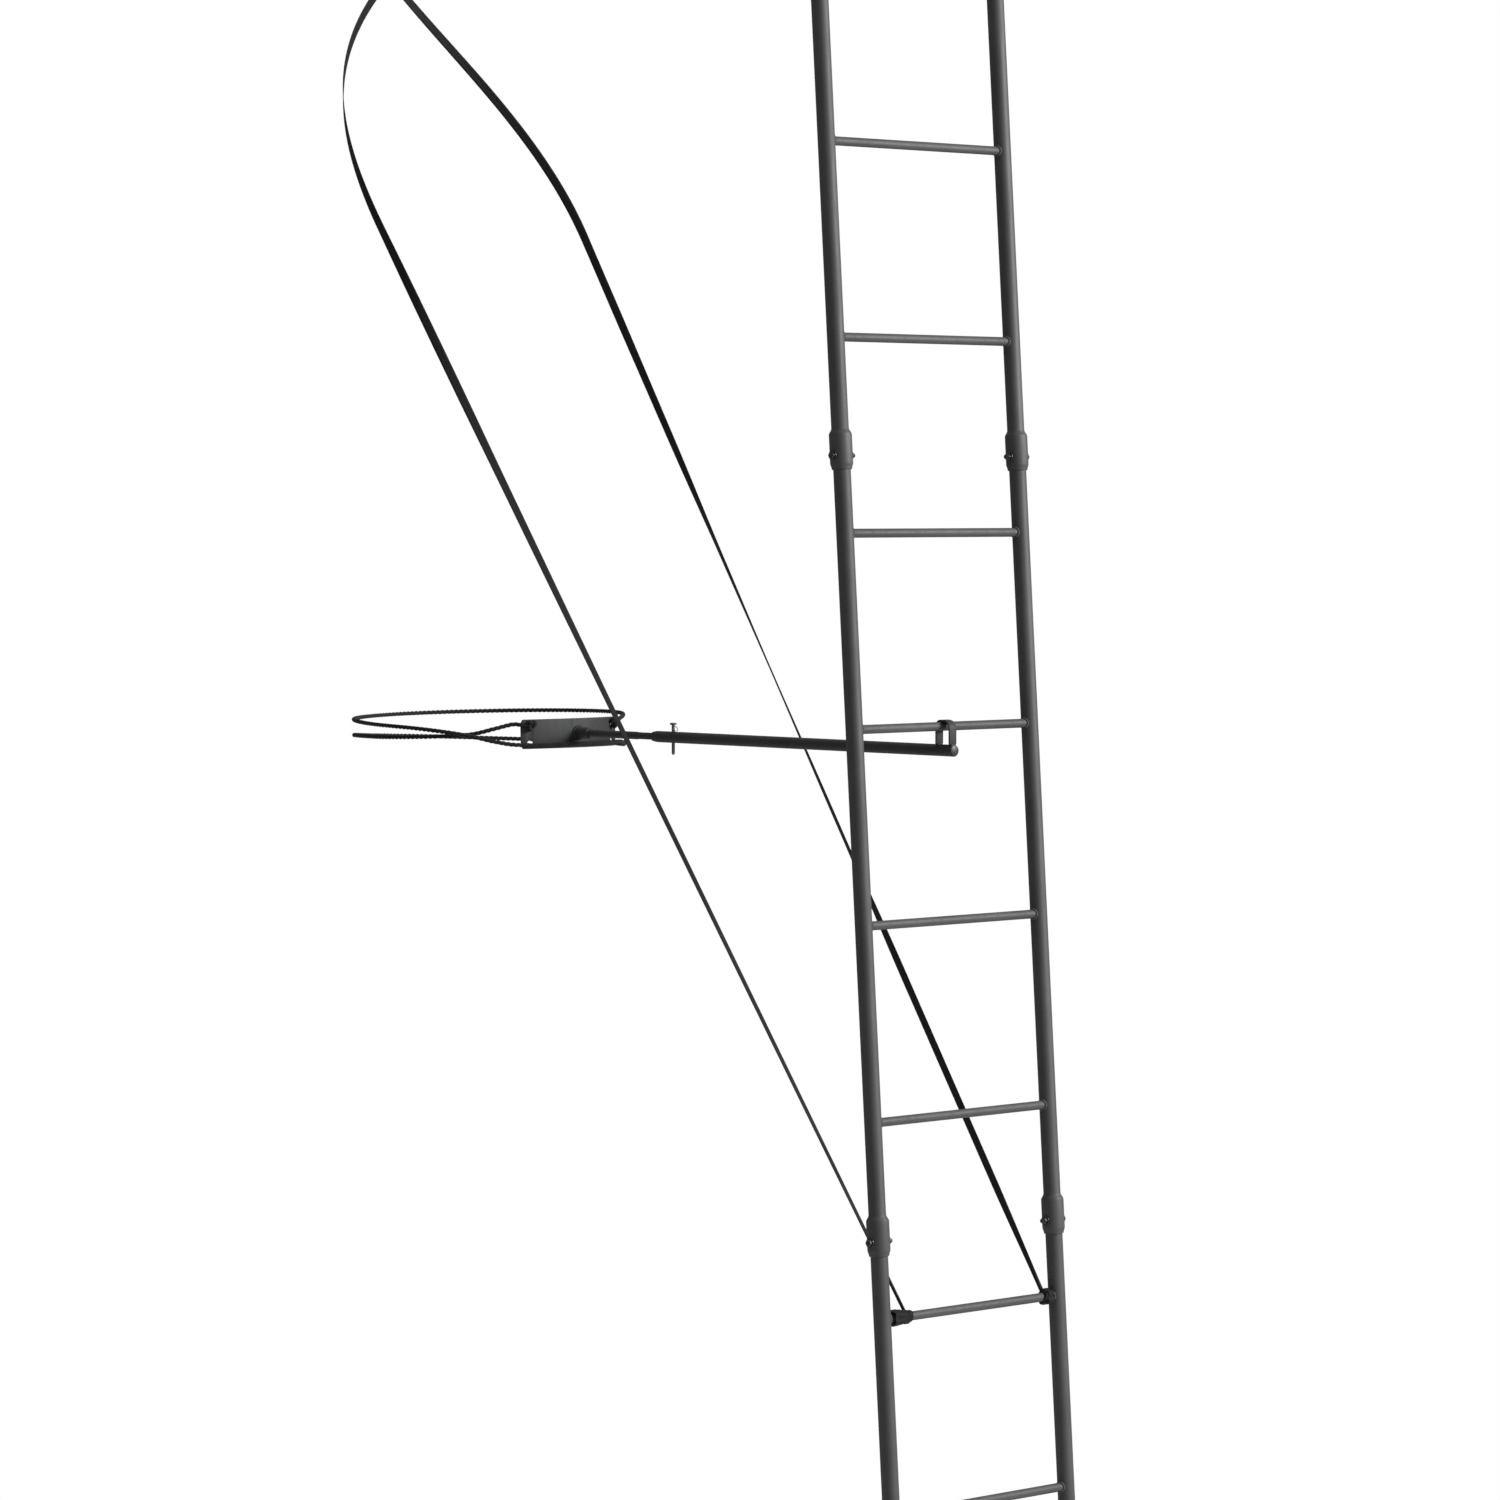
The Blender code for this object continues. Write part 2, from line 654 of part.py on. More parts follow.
def build_stays(materials, ladder, stay_along):
    """Each stay runs from a bolt through the rail up to the outer side of a side tube."""
    foot = on_ladder(RAIL_X, stay_along)
    rise = SIDE_MIDDLE_Z - foot.z
    length = hypot(STAY_REACH, rise)
    for side, sign in SIDES:
        inward = -sign
        x = sign * (RAIL_X + RAIL_R + GAP + STAY_R)
        name = f"{side}_stay"
        stay = place(
            name, stay_mesh(name, length, inward), materials["steel"],
            location=(x, foot.y, foot.z), rotation=(-atan2(STAY_REACH, rise), 0, 0),
        )
        cutter = round_cutter(
            f"{side}_stay_lug_hole", BOLT_R + HOLE_CLEARANCE, 4 * STAY_R,
            location=(x, foot.y, foot.z), rotation=ALONG_X,
        )
        combine(stay, cutter)
        mesh = fastener_mesh("stay_bolt", STAY_LUG + 2 * RAIL_R + 3 * GAP)
        head = sign * (RAIL_X + RAIL_R + STAY_LUG + 2 * GAP)
        place(
            f"{side}_stay_bolt", mesh, materials["bolt"], ladder, (head, 0, stay_along),
            (0, -sign * pi / 2, 0),
        )


# ---------------------------------------------------------------- seat and shooting rail


def build_seat(materials):
    arm_z = DECK_TOP + SEAT_HEIGHT
    arm_front = UPRIGHT_Y - UPRIGHT_TUBE / 2 - GAP - SEAT_ARM_LENGTH
    for side, sign in SIDES:
        x = sign * RAIL_X
        name = f"{side}_upright"
        mesh = square_tube_mesh(name, UPRIGHT_TUBE, UPRIGHT_WALL, UPRIGHT_HEIGHT)
        upright = place(
            name, mesh, materials["steel"], location=(x, UPRIGHT_Y, SIDE_TOP + GAP)
        )
        cutter = round_cutter(
            f"{side}_upright_hole", BOLT_R + HOLE_CLEARANCE, 2 * UPRIGHT_TUBE,
            location=(x, UPRIGHT_Y, UPRIGHT_TOP - RAIL_PIVOT_DROP), rotation=ALONG_X,
        )
        combine(upright, cutter)
        name = f"{side}_seat_arm"
        mesh = square_tube_mesh(name, SEAT_ARM_TUBE, SEAT_ARM_WALL, SEAT_ARM_LENGTH)
        place(name, mesh, materials["steel"], location=(x, arm_front, arm_z), rotation=ALONG_Y)

    half_rod = RAIL_X - SEAT_ARM_TUBE / 2 - GAP
    axis = (0, SEAT_AXIS_Y, arm_z + SEAT_AXIS_RISE)
    rod = turned_mesh("seat_hinge_rod", rod_profile(HINGE_ROD_R, -half_rod, half_rod), 12)
    place("seat_hinge_rod", rod, materials["bolt"], location=axis, rotation=ALONG_X)

    # The pan turns about the rod, so the frame it hangs from sits on the rod's axis.
    hinge = frame_empty("seat_hinge", axis)
    pan_low = SEAT_ARM_TUBE / 2 - SEAT_AXIS_RISE + GAP
    width = RAIL_SPACING + 2 * SEAT_PAN_OVERHANG
    pan_mesh = box_mesh(
        "seat_pan", (width, SEAT_PAN_DEPTH, SEAT_PAN_THICKNESS),
        (-width / 2, -SEAT_PAN_SETBACK - SEAT_PAN_DEPTH, pan_low),
    )
    pan = place("seat_pan", pan_mesh, materials["steel"], hinge)
    leaf_half = half_rod - SEAT_LEAF_INSET
    leaf = box_mesh(
        "seat_leaf", (2 * leaf_half, SEAT_LEAF, SEAT_PAN_THICKNESS),
        (-leaf_half, -SEAT_LEAF, pan_low),
    )
    combine(pan, place("seat_leaf", leaf, None, hinge), "UNION")
    bore = HINGE_ROD_R + FIT_CLEARANCE
    barrel = turned_mesh(
        "seat_barrel", ring_profile(HINGE_BARREL_R, bore, -leaf_half, leaf_half), 16
    )
    combine(pan, place("seat_barrel", barrel, None, hinge, rotation=ALONG_X), "UNION")

    width = RAIL_SPACING - UPRIGHT_TUBE - 2 * CUSHION_SIDE_ROOM
    cushion_mesh = box_mesh(
        "seat_cushion", (width, CUSHION_DEPTH, CUSHION_THICKNESS),
        (-width / 2, -CUSHION_SETBACK - CUSHION_DEPTH, pan_low + SEAT_PAN_THICKNESS + GAP),
    )
    cushion = place("seat_cushion", cushion_mesh, materials["cushion"], hinge)
    bevel = cushion.modifiers.new("soft edges", "BEVEL")
    bevel.width = CUSHION_THICKNESS / 4
    bevel.segments = 2


def arm_rail_path(x, start):
    """The shooting rail's middle line from its pivot's frame: back at start, round the front
    and back again."""
    front = -ARM_RAIL_REACH
    right, left = (x, start, 0), (-x, start, 0)
    right_corner, left_corner = (x, front, 0), (-x, front, 0)
    return [
        Vector(right),
        *rounded_corner(right_corner, right, left_corner, ARM_RAIL_BEND),
        *rounded_corner(left_corner, right_corner, left, ARM_RAIL_BEND),
        Vector(left),
    ]


def build_shooting_rail(materials):
    pivot_z = UPRIGHT_TOP - RAIL_PIVOT_DROP
    pivot = frame_empty("shooting_rail_pivot", (0, UPRIGHT_Y, pivot_z))
    x = RAIL_X + UPRIGHT_TUBE / 2 + ARM_RAIL_SIDE_GAP + ARM_RAIL_R
    mesh = path_mesh("shooting_rail", arm_rail_path(x, ARM_RAIL_TAIL), ARM_RAIL_R)
    rail = place("shooting_rail", mesh, materials["steel"], pivot)
    foam_mesh = path_mesh(
        "shooting_rail_foam", arm_rail_path(x, -FOAM_START), FOAM_R, caps=False
    )
    foam = place("shooting_rail_foam", foam_mesh, materials["foam"], pivot)
    wall = foam.modifiers.new("wall", "SOLIDIFY")
    wall.thickness = FOAM_R - ARM_RAIL_R - FOAM_CLEARANCE
    wall.offset = -1
    wall.use_even_offset = True

    inner_face = RAIL_X - UPRIGHT_TUBE / 2 - GAP
    outer_face = x + ARM_RAIL_R + GAP
    mesh = fastener_mesh("rail_pivot_bolt", outer_face - inner_face)
    for side, sign in SIDES:
        cutter = round_cutter(
            f"{side}_rail_pivot_hole", BOLT_R + HOLE_CLEARANCE, 3 * ARM_RAIL_R,
            parent=pivot, location=(sign * x, 0, 0), rotation=ALONG_X,
        )
        combine(rail, cutter)
        place(
            f"{side}_rail_pivot_bolt", mesh, materials["bolt"],
            location=(sign * outer_face, UPRIGHT_Y, pivot_z), rotation=(0, -sign * pi / 2, 0),
        )


# ---------------------------------------------------------------- upper trunk rest and strap


def build_upper_rest(materials):
    """A cross tube between the uprights, with a post that carries the curved rest."""
    length = RAIL_SPACING - UPRIGHT_TUBE - 2 * GAP
    mesh = square_tube_mesh("upper_trunk_rest", UPRIGHT_TUBE, UPRIGHT_WALL, length)
    rest = place(
        "upper_trunk_rest", mesh, materials["steel"],
        location=(-length / 2, UPRIGHT_Y, UPPER_REST_Z), rotation=ALONG_X,
    )
    arc = arc_bar_mesh(
        "rest_arc", TRUNK_R, REST_THICKNESS, UPPER_REST_HALF_ANGLE, UPPER_REST_HEIGHT
    )
    combine(rest, place("rest_arc", arc, location=(0, 0, UPPER_REST_Z)), "UNION")
    start = UPRIGHT_Y + UPRIGHT_TUBE / 2 - UPRIGHT_WALL / 2
    post = turned_mesh(
        "rest_post", rod_profile(REST_POST_R, start, -TRUNK_R - REST_THICKNESS / 2), 12
    )
    combine(
        rest, place("rest_post", post, location=(0, 0, UPPER_REST_Z), rotation=ALONG_Y), "UNION"
    )


def build_upper_strap(materials):
    """Webbing from the ratchet's spool round the back of the trunk to the rest's far end."""
    start = RATCHET_ANGLE + RATCHET_LENGTH / TRUNK_R / 2 + UPPER_WEB_START
    end = 2 * pi - UPPER_REST_HALF_ANGLE - UPPER_WEB_END
    # The web is the same bent bar as a rest, turned to lie over the back.
    half = (end - start) / 2
    mesh = arc_bar_mesh(
        "upper_strap", TRUNK_R, UPPER_WEB_THICKNESS, half, UPPER_WEB_WIDTH, 44
    )
    place(
        "upper_strap", mesh, materials["webbing"], location=(0, 0, UPPER_REST_Z),
        rotation=(0, 0, -(start + end) / 2),
    )

    # A short web ties the ratchet's frame to the rest's near end.
    tab_start = UPPER_REST_HALF_ANGLE + UPPER_WEB_END
    tab_end = RATCHET_ANGLE - RATCHET_LENGTH / TRUNK_R / 2
    mesh = arc_bar_mesh(
        "ratchet_tab", TRUNK_R, UPPER_WEB_THICKNESS, (tab_end - tab_start) / 2,
        UPPER_WEB_WIDTH, 4,
    )
    place(
        "ratchet_tab", mesh, materials["webbing"], location=(0, 0, UPPER_REST_Z),
        rotation=(0, 0, -(tab_start + tab_end) / 2),
    )

    # Ratchet: its frame's Y points away from the trunk and its Z runs up the trunk.
    base_radius = TRUNK_R + UPPER_WEB_THICKNESS + GAP
    ratchet = frame_empty(
        "ratchet_frame_axis", (0, 0, UPPER_REST_Z), (0, 0, -RATCHET_ANGLE + pi)
    )
    half_width = UPPER_WEB_WIDTH / 2 + RATCHET_SIDE_ROOM
    sheet, cheek = RATCHET_SHEET, RATCHET_CHEEK
    channel = [
        (-half_width, 0),
        (half_width, 0),
        (half_width, cheek),
        (half_width - sheet, cheek),
        (half_width - sheet, sheet),
        (-half_width + sheet, sheet),
        (-half_width + sheet, cheek),
        (-half_width, cheek),
    ]
    # The outline's X is turned onto the trunk's Z, and the extrusion runs round the trunk.
    mesh = prism_mesh("ratchet_frame", channel, RATCHET_LENGTH, smooth=False)
    frame = place(
        "ratchet_frame", mesh, materials["bolt"], ratchet,
        (-RATCHET_LENGTH / 2, base_radius, 0), (0, pi / 2, 0),
    )
    spool_x = RATCHET_LENGTH / 2 - cheek / 2
    spool_y = base_radius + cheek / 2
    reach = half_width + sheet + RATCHET_HANDLE_GAP + RATCHET_SPOOL_END
    spool = turned_mesh("ratchet_spool", rod_profile(RATCHET_SPOOL_R, -reach, reach), 14)
    place("ratchet_spool", spool, materials["bolt"], ratchet, (spool_x, spool_y, 0))
    bore = round_cutter(
        "ratchet_bore", RATCHET_SPOOL_R + HOLE_CLEARANCE, 4 * half_width, parent=ratchet,
        location=(spool_x, spool_y, 0),
    )
    combine(frame, bore)

    # The handle straddles the frame, and its web lies clear of the frame's open side.
    inside = half_width + RATCHET_HANDLE_GAP
    outside = inside + sheet
    low, high = -cheek / 2, cheek / 2 + RATCHET_HANDLE_GAP
    yoke = [
        (-outside, low),
        (-inside, low),
        (-inside, high),
        (inside, high),
        (inside, low),
        (outside, low),
        (outside, high + sheet),
        (-outside, high + sheet),
    ]
    mesh = prism_mesh("ratchet_handle", yoke, RATCHET_HANDLE_LENGTH, smooth=False)
    handle = place(
        "ratchet_handle", mesh, materials["bolt"], ratchet,
        (spool_x + cheek / 2 - RATCHET_HANDLE_LENGTH, spool_y, 0), (0, pi / 2, 0),
    )
    combine(handle, bore)
    # Near the spool the handle has no web, so that it swings past the frame's cheeks.
    web_start = cheek / 2 + 2 * RATCHET_HANDLE_GAP
    web_cut = box_mesh(
        "ratchet_web_cut", (web_start + cheek, cheek, 2 * inside),
        (spool_x - web_start, spool_y + cheek / 4, -inside),
    )
    combine(handle, place("ratchet_web_cut", web_cut, None, ratchet))


# ---------------------------------------------------------------- brace


def saddle_edge(offset, leg):
    """One side of the hook's outline, from its rear leg over the rung to its front leg."""
    steps = 8
    quarter = [pi / 2 * k / steps for k in range(steps + 1)]
    over_rung = RUNG_R + SADDLE_CLEARANCE
    rear = over_rung + offset
    shoulder = SADDLE_SHOULDER_R + offset
    middle_y = -SADDLE_REACH + SADDLE_SHOULDER_R
    middle_z = over_rung - SADDLE_SHOULDER_R
    return [
        (rear, leg),
        *((rear * cos(a), rear * sin(a)) for a in quarter),
        *((middle_y - shoulder * sin(a), middle_z + shoulder * cos(a)) for a in quarter),
        (-SADDLE_REACH - offset, leg),
    ]


def build_brace(materials):
    rung = on_ladder(0, rung_along(BRACE_RUNG))
    hinge = frame_empty("brace_hinge", rung, (BRACE_RISE, 0, 0))
    turn = Matrix.Rotation(BRACE_RISE, 4, "X")
    bar_z = -BRACE_DROP

    # Saddle: a flat bar bent into a hook, its rear leg against the rung.
    leg = bar_z + BRACE_TUBE_R + GAP
    outline = saddle_edge(SADDLE_THICKNESS, leg) + saddle_edge(0, leg)[::-1]
    # Outline X is the brace's Y and outline Y its Z, so the bar's width runs along X.
    mesh = prism_mesh("brace_saddle", outline, SADDLE_WIDTH)
    mesh.transform(Matrix.Translation((0, 0, -SADDLE_WIDTH / 2)))
    mesh.transform(Matrix(((0, 0, 1, 0), (1, 0, 0, 0), (0, 1, 0, 0), (0, 0, 0, 1))))
    place("brace_saddle", mesh, materials["brace"], hinge)

    # Outer tube, with a nose that closes down on the inner one.
    bore = BRACE_INNER_R + FIT_CLEARANCE
    end = BRACE_OUTER_LENGTH - BRACE_FRONT
    profile = [
        (BRACE_TUBE_R, -BRACE_FRONT),
        (BRACE_TUBE_R, end - BRACE_NOSE),
        (bore + BRACE_NOSE_WALL, end),
        (bore, end),
        (bore, -BRACE_FRONT),
    ]
    mesh = turned_mesh("brace_outer_tube", profile, 14)
    outer_tube = place(
        "brace_outer_tube", mesh, materials["brace"], hinge, (0, 0, bar_z), ALONG_Y
    )
    pin_y = end - BRACE_PIN_INSET
    cutter = round_cutter(
        "pin_hole", PIN_R + HOLE_CLEARANCE, 4 * BRACE_TUBE_R, parent=hinge,
        location=(0, pin_y, bar_z),
    )
    combine(outer_tube, cutter)

    # The claw plate's front face, measured along the bar, fixes the inner tube's far end.
    claw_front = TRUNK_R + CLAW_STANDOFF + CLAW_THICKNESS
    bar_start = rung + turn @ Vector((0, 0, bar_z))
    to_plate = (-claw_front - bar_start.y) / cos(BRACE_RISE)
    tube_end = to_plate - 2 * GAP
    inner_bore = BRACE_INNER_R - BRACE_INNER_WALL
    mesh = turned_mesh(
        "brace_inner_tube",
        ring_profile(BRACE_INNER_R, inner_bore, tube_end - BRACE_INNER_LENGTH, tube_end),
        14,
    )
    inner_tube = place(
        "brace_inner_tube", mesh, materials["brace"], hinge, (0, 0, bar_z), ALONG_Y
    )
    half_slot = PIN_R + HOLE_CLEARANCE
    slot_low = pin_y - BRACE_EXTEND - half_slot
    slot_length = BRACE_EXTEND + BRACE_RETRACT + 2 * half_slot
    slot = box_mesh(
        "pin_slot", (2 * half_slot, slot_length, 4 * BRACE_TUBE_R),
        (-half_slot, slot_low, bar_z - 2 * BRACE_TUBE_R),
    )
    combine(inner_tube, place("pin_slot", slot, None, hinge))

    profile = [
        (0, -PIN_BELOW),
        (PIN_R * 0.6, -PIN_BELOW),
        (PIN_R, -PIN_BELOW + PIN_R),
        (PIN_R, PIN_ABOVE - PIN_R),
        (PIN_HEAD, PIN_ABOVE - PIN_R),
        (PIN_HEAD, PIN_ABOVE),
        (0, PIN_ABOVE),
    ]
    mesh = turned_mesh("brace_pin", profile, 12)
    place("brace_pin", mesh, materials["bolt"], hinge, (0, pin_y, bar_z))

    claw_z = bar_start.z + to_plate * sin(BRACE_RISE)
    build_claw(materials, hinge, claw_z, to_plate, bar_z)
    build_trunk_rope(materials, claw_z)


def build_claw(materials, hinge, claw_z, to_plate, bar_z):
    inside = TRUNK_R + CLAW_STANDOFF
    mesh = arc_bar_mesh("trunk_claw", inside, CLAW_THICKNESS, CLAW_HALF_ANGLE, CLAW_HEIGHT)
    claw = place("trunk_claw", mesh, materials["brace"], location=(0, 0, claw_z))
    neck = turned_mesh(
        "claw_neck",
        ring_profile(
            CLAW_NECK_R, BRACE_INNER_R + GAP, to_plate - CLAW_NECK_LENGTH,
            to_plate + CLAW_THICKNESS / 2,
        ),
        14,
    )
    combine(claw, place("claw_neck", neck, None, hinge, (0, 0, bar_z), ALONG_Y), "UNION")
    for n, (across, up) in enumerate(((-1, -1), (-1, 1), (1, -1), (1, 1))):
        angle = across * CLAW_EYE_ANGLE
        cutter = round_cutter(
            f"claw_eye_{n}", CLAW_EYE_R, 8 * CLAW_THICKNESS,
            location=round_trunk(angle, inside, claw_z + up * CLAW_EYE_Z),
            rotation=(-pi / 2, 0, -angle),
        )
        combine(claw, cutter)


def build_trunk_rope(materials, claw_z):
    """Two turns round the trunk from the claw's ends: (degrees round from the front, height
    over the claw's middle, clearance off the bark). The turns cross on the climber's left."""
    touch = ROPE_R + ROPE_OFF_BARK
    over = touch + 2 * ROPE_R + ROPE_OFF_ROPE  # where one turn lies on the other
    front = CLAW_STANDOFF + CLAW_THICKNESS + ROPE_R + ROPE_OFF_CLAW
    route = [
        (30.5, 0.020, touch),
        (38, 0.012, touch),
        (48, 0.002, touch),
        (62, -0.001, touch),
        (90, -0.002, touch),
        (128, 0.000, touch),
        (180, -0.008, touch),
        (240, -0.022, touch),
        (300, -0.030, touch),
        (322, -0.024, touch + 0.003),
        (334, -0.021, front),
        (360, -0.021, front),
        (386, -0.021, front),
        (397, -0.014, front),
        (408, -0.001, over),
        (420, 0.009, over),
        (436, 0.017, touch + 0.003),
        (460, 0.024, touch),
        (488, 0.031, touch),
        (540, 0.037, touch),
        (600, 0.038, touch),
        (660, 0.033, touch),
        (680, 0.027, touch),
        (689.5, 0.021, touch),
    ]
    # Smoothed as angle, height and radius, so that the turns stay round between the points.
    rolled = [
        Vector((radians(turn) * TRUNK_R, height, lift)) for turn, height, lift in route
    ]
    points = [
        round_trunk(p.x / TRUNK_R, TRUNK_R + p.z, claw_z + p.y) for p in smooth_path(rolled, 0.042)
    ]
    place("trunk_rope", path_curve("trunk_rope", points, ROPE_R, 2), materials["rope"])


# ---------------------------------------------------------------- stabiliser straps


def strap_route(x, side, lift):
    """Middle line of one strap. It runs straight from the rung to the side of the trunk, then
    climbs round the back, easing off, to the far side tube. side is 1 round the climber's left."""
    start = on_ladder(x, rung_along(STRAP_RUNG))
    radius = TRUNK_R + lift
    away = hypot(start.x, start.y)
    from_angle = atan2(-start.x, -start.y)
    touch_angle = from_angle + side * acos(radius / away)
    run = sqrt(away**2 - radius**2)
    touch = round_trunk(touch_angle, radius, start.z + STRAP_SLOPE * run)
    direction = (touch - start).normalized()
    first = start + direction * STRAP_START
    count = ceil((touch - first).length / STRAP_STEP)
    points = [first.lerp(touch, k / count) for k in range(count)]

    # Round the trunk the height follows a cubic that starts at the free stretch's slope.
    end_angle = side * STRAP_END_ANGLE
    end_z = SIDE_UNDERSIDE - STRAP_R - STRAP_END_CLEARANCE
    arc = abs(end_angle - touch_angle) * radius
    rise = end_z - touch.z
    end_slope = STRAP_END_SLOPE * rise / arc
    count = ceil(arc / STRAP_STEP)
    for k in range(count + 1):
        t = k / count
        height = (
            (t**3 - 2 * t**2 + t) * STRAP_SLOPE * arc
            + (3 * t**2 - 2 * t**3) * rise
            + (t**3 - t**2) * end_slope * arc
        )
        angle = touch_angle + (end_angle - touch_angle) * t
        points.append(round_trunk(angle, radius, touch.z + height))
    return points


def build_stabiliser_straps(materials):
    """The two straps cross behind the trunk, where the right one lies over the left."""
    under = STRAP_R + STRAP_OFF_BARK
    over = under + 2 * STRAP_R + STRAP_OFF_BARK
    for name, x, side, lift in (
        ("left_stabiliser_strap", LEFT_STRAP_X, 1, under),
        ("right_stabiliser_strap", RIGHT_STRAP_X, -1, over),
    ):
        curve = path_curve(name, strap_route(x, side, lift), STRAP_R, 2)
        place(name, curve, materials["webbing"])


def main():
    clear_scene()
    materials = make_materials()
    stay_along = (SIDE_MIDDLE_Z - STAY_DROP) / cos(LEAN)
    ladder = build_ladder(materials, stay_along)
    build_platform(materials, ladder)
    build_stays(materials, ladder, stay_along)
    build_seat(materials)
    build_shooting_rail(materials)
    build_upper_rest(materials)
    build_upper_strap(materials)
    build_brace(materials)
    build_stabiliser_straps(materials)


main()
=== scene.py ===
"""Ladder tree stand: its looks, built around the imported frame.

Frame: the origin is on the trunk's axis at ground level, +Z runs up the trunk, and the
climber faces +Y, so -X is their left hand. The trunk itself is not part of the stand.
"""

from math import acos, asin, atan2, ceil, cos, hypot, pi, radians, sin, sqrt

import bmesh
import bpy
from mathutils import Matrix, Vector, noise
from mathutils.bvhtree import BVHTree


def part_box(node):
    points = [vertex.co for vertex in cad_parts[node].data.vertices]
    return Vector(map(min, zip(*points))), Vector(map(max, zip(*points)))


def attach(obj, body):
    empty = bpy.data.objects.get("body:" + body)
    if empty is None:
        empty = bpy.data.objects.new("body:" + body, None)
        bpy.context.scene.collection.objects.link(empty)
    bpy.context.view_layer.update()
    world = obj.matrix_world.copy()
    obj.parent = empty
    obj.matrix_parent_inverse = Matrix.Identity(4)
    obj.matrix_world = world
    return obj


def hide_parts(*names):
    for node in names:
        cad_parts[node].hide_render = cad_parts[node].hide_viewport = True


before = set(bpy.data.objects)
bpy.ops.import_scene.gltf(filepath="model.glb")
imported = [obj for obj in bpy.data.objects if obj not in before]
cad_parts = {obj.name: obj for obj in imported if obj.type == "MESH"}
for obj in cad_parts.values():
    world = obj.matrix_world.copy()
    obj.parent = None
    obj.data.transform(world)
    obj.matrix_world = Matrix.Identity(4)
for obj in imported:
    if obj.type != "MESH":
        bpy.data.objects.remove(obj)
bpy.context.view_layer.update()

# ---------------------------------------------------------------- sizes, as the frame has them
GAP = 0.0003
TRUNK_R = 0.265
LEAN = radians(2.4)
FOOT_DISTANCE = 1.39
RUNG_PITCH = 0.356
RUNGS_PER_SECTION = 4
SECTIONS = ("lower", "middle", "upper")
RAIL_X = 0.2275
RAIL_R = 0.016
RAIL_BORE = 0.014
RUNG_R = 0.0083
RUNG_START = 0.203
SOCKET_R = 0.021
SOCKET_LENGTH = 0.075
SOCKET_TAPER = 0.012
SOCKET_BORE = 0.0165
SPIGOT_DEPTH = 0.022
JOINT_BOLT_DROP = 0.012
FOOT_PLATE = (0.090, 0.120, 0.006)
FOOT_COLLAR_R = 0.0205
FOOT_COLLAR_LENGTH = 0.060
BOLT_R = 0.004
BOLT_HEAD_R = 0.0075
BOLT_HEAD = 0.0053
NUT = 0.0065
BOLT_TAIL = 0.004
SIDE_TUBE = 0.030
PLATFORM_FRONT = -1.255
CROSS_TUBE = 0.025
PLATFORM_WIDTH = 0.600
FRONT_CROSS_Y = -1.235
REAR_CROSS_Y = -0.400
MIDDLE_CROSS_Y = (FRONT_CROSS_Y + REAR_CROSS_Y) / 2
DECK_THICKNESS = 0.003
STAY_R = 0.0095
STAY_LUG = 0.005
STAY_LUG_LENGTH = 0.034
STAY_LUG_TAPER = 0.030
STAY_LUG_END = 0.014
STAY_DROP = 0.470
STAY_REACH = 0.480
UPRIGHT_TUBE = 0.025
UPRIGHT_Y = -0.345
UPRIGHT_HEIGHT = 0.955
SEAT_ARM_TUBE = 0.020
SEAT_ARM_LENGTH = 0.340
SEAT_HEIGHT = 0.430
HINGE_ROD_R = 0.006
RAIL_PIVOT_DROP = 0.045
ARM_RAIL_R = 0.011
ARM_RAIL_REACH = 0.660
ARM_RAIL_TAIL = 0.022
ARM_RAIL_BEND = 0.070
ARM_RAIL_SIDE_GAP = 0.0015
FOAM_R = 0.018
FOAM_START = 0.170
REST_THICKNESS = 0.006
LOWER_REST_HEIGHT = 0.028
UPPER_REST_HEIGHT = 0.050
UPPER_REST_HALF_ANGLE = radians(34)
UPPER_REST_DROP = 0.130
REST_POST_R = 0.011
WEB_WIDTH = 0.025
WEB_THICKNESS = 0.0019
SPOOL_AXIS = (-0.230347, -0.159996)
RATCHET_ANGLE = radians(50)
RATCHET_LENGTH = 0.075
RATCHET_CHEEK = 0.024
RATCHET_SPOOL_R = 0.0065
RATCHET_HANDLE_LENGTH = 0.115
BRACE_RUNG = 7
BRACE_RISE = radians(1.6)
BRACE_DROP = 0.044
BRACE_TUBE_R = 0.011
BRACE_INNER_R = 0.0075
BRACE_BORE = 0.008
BRACE_INNER_BORE = 0.006
BRACE_FRONT = 0.029
BRACE_OUTER_LENGTH = 0.824
BRACE_NOSE = 0.014
BRACE_INNER_LENGTH = 0.610
BRACE_PIN_INSET = 0.056
BRACE_EXTEND = 0.200
BRACE_RETRACT = 0.100
SADDLE_WIDTH = 0.018
SADDLE_THICKNESS = 0.0035
SADDLE_CLEARANCE = 0.0006
SADDLE_REACH = 0.0220
SADDLE_SHOULDER_R = 0.0140
PIN_R = 0.0032
PIN_ABOVE = 0.028
PIN_BELOW = 0.034
PIN_HEAD = 0.0065
CLAW_THICKNESS = 0.004
CLAW_HEIGHT = 0.058
CLAW_STANDOFF = 0.004
CLAW_HALF_ANGLE = radians(27)
CLAW_NECK_R = 0.0115
CLAW_NECK_LENGTH = 0.036
CLAW_EYE_R = 0.006
CLAW_EYE_ANGLE = radians(23)
CLAW_EYE_Z = 0.018
ROPE_R = 0.0045
ROPE_LAY = 0.030
STRAP_RUNG = 4
STRAP_WIDTH = 0.0175
STRAP_SLOPE = 1.55
STRAP_SAG = 0.006
LEFT_STRAP_X = -0.165
RIGHT_STRAP_X = 0.194
STRAP_START = 0.0105
STRAP_END_ANGLE = radians(303)
STRAP_END_SLOPE = 0.5

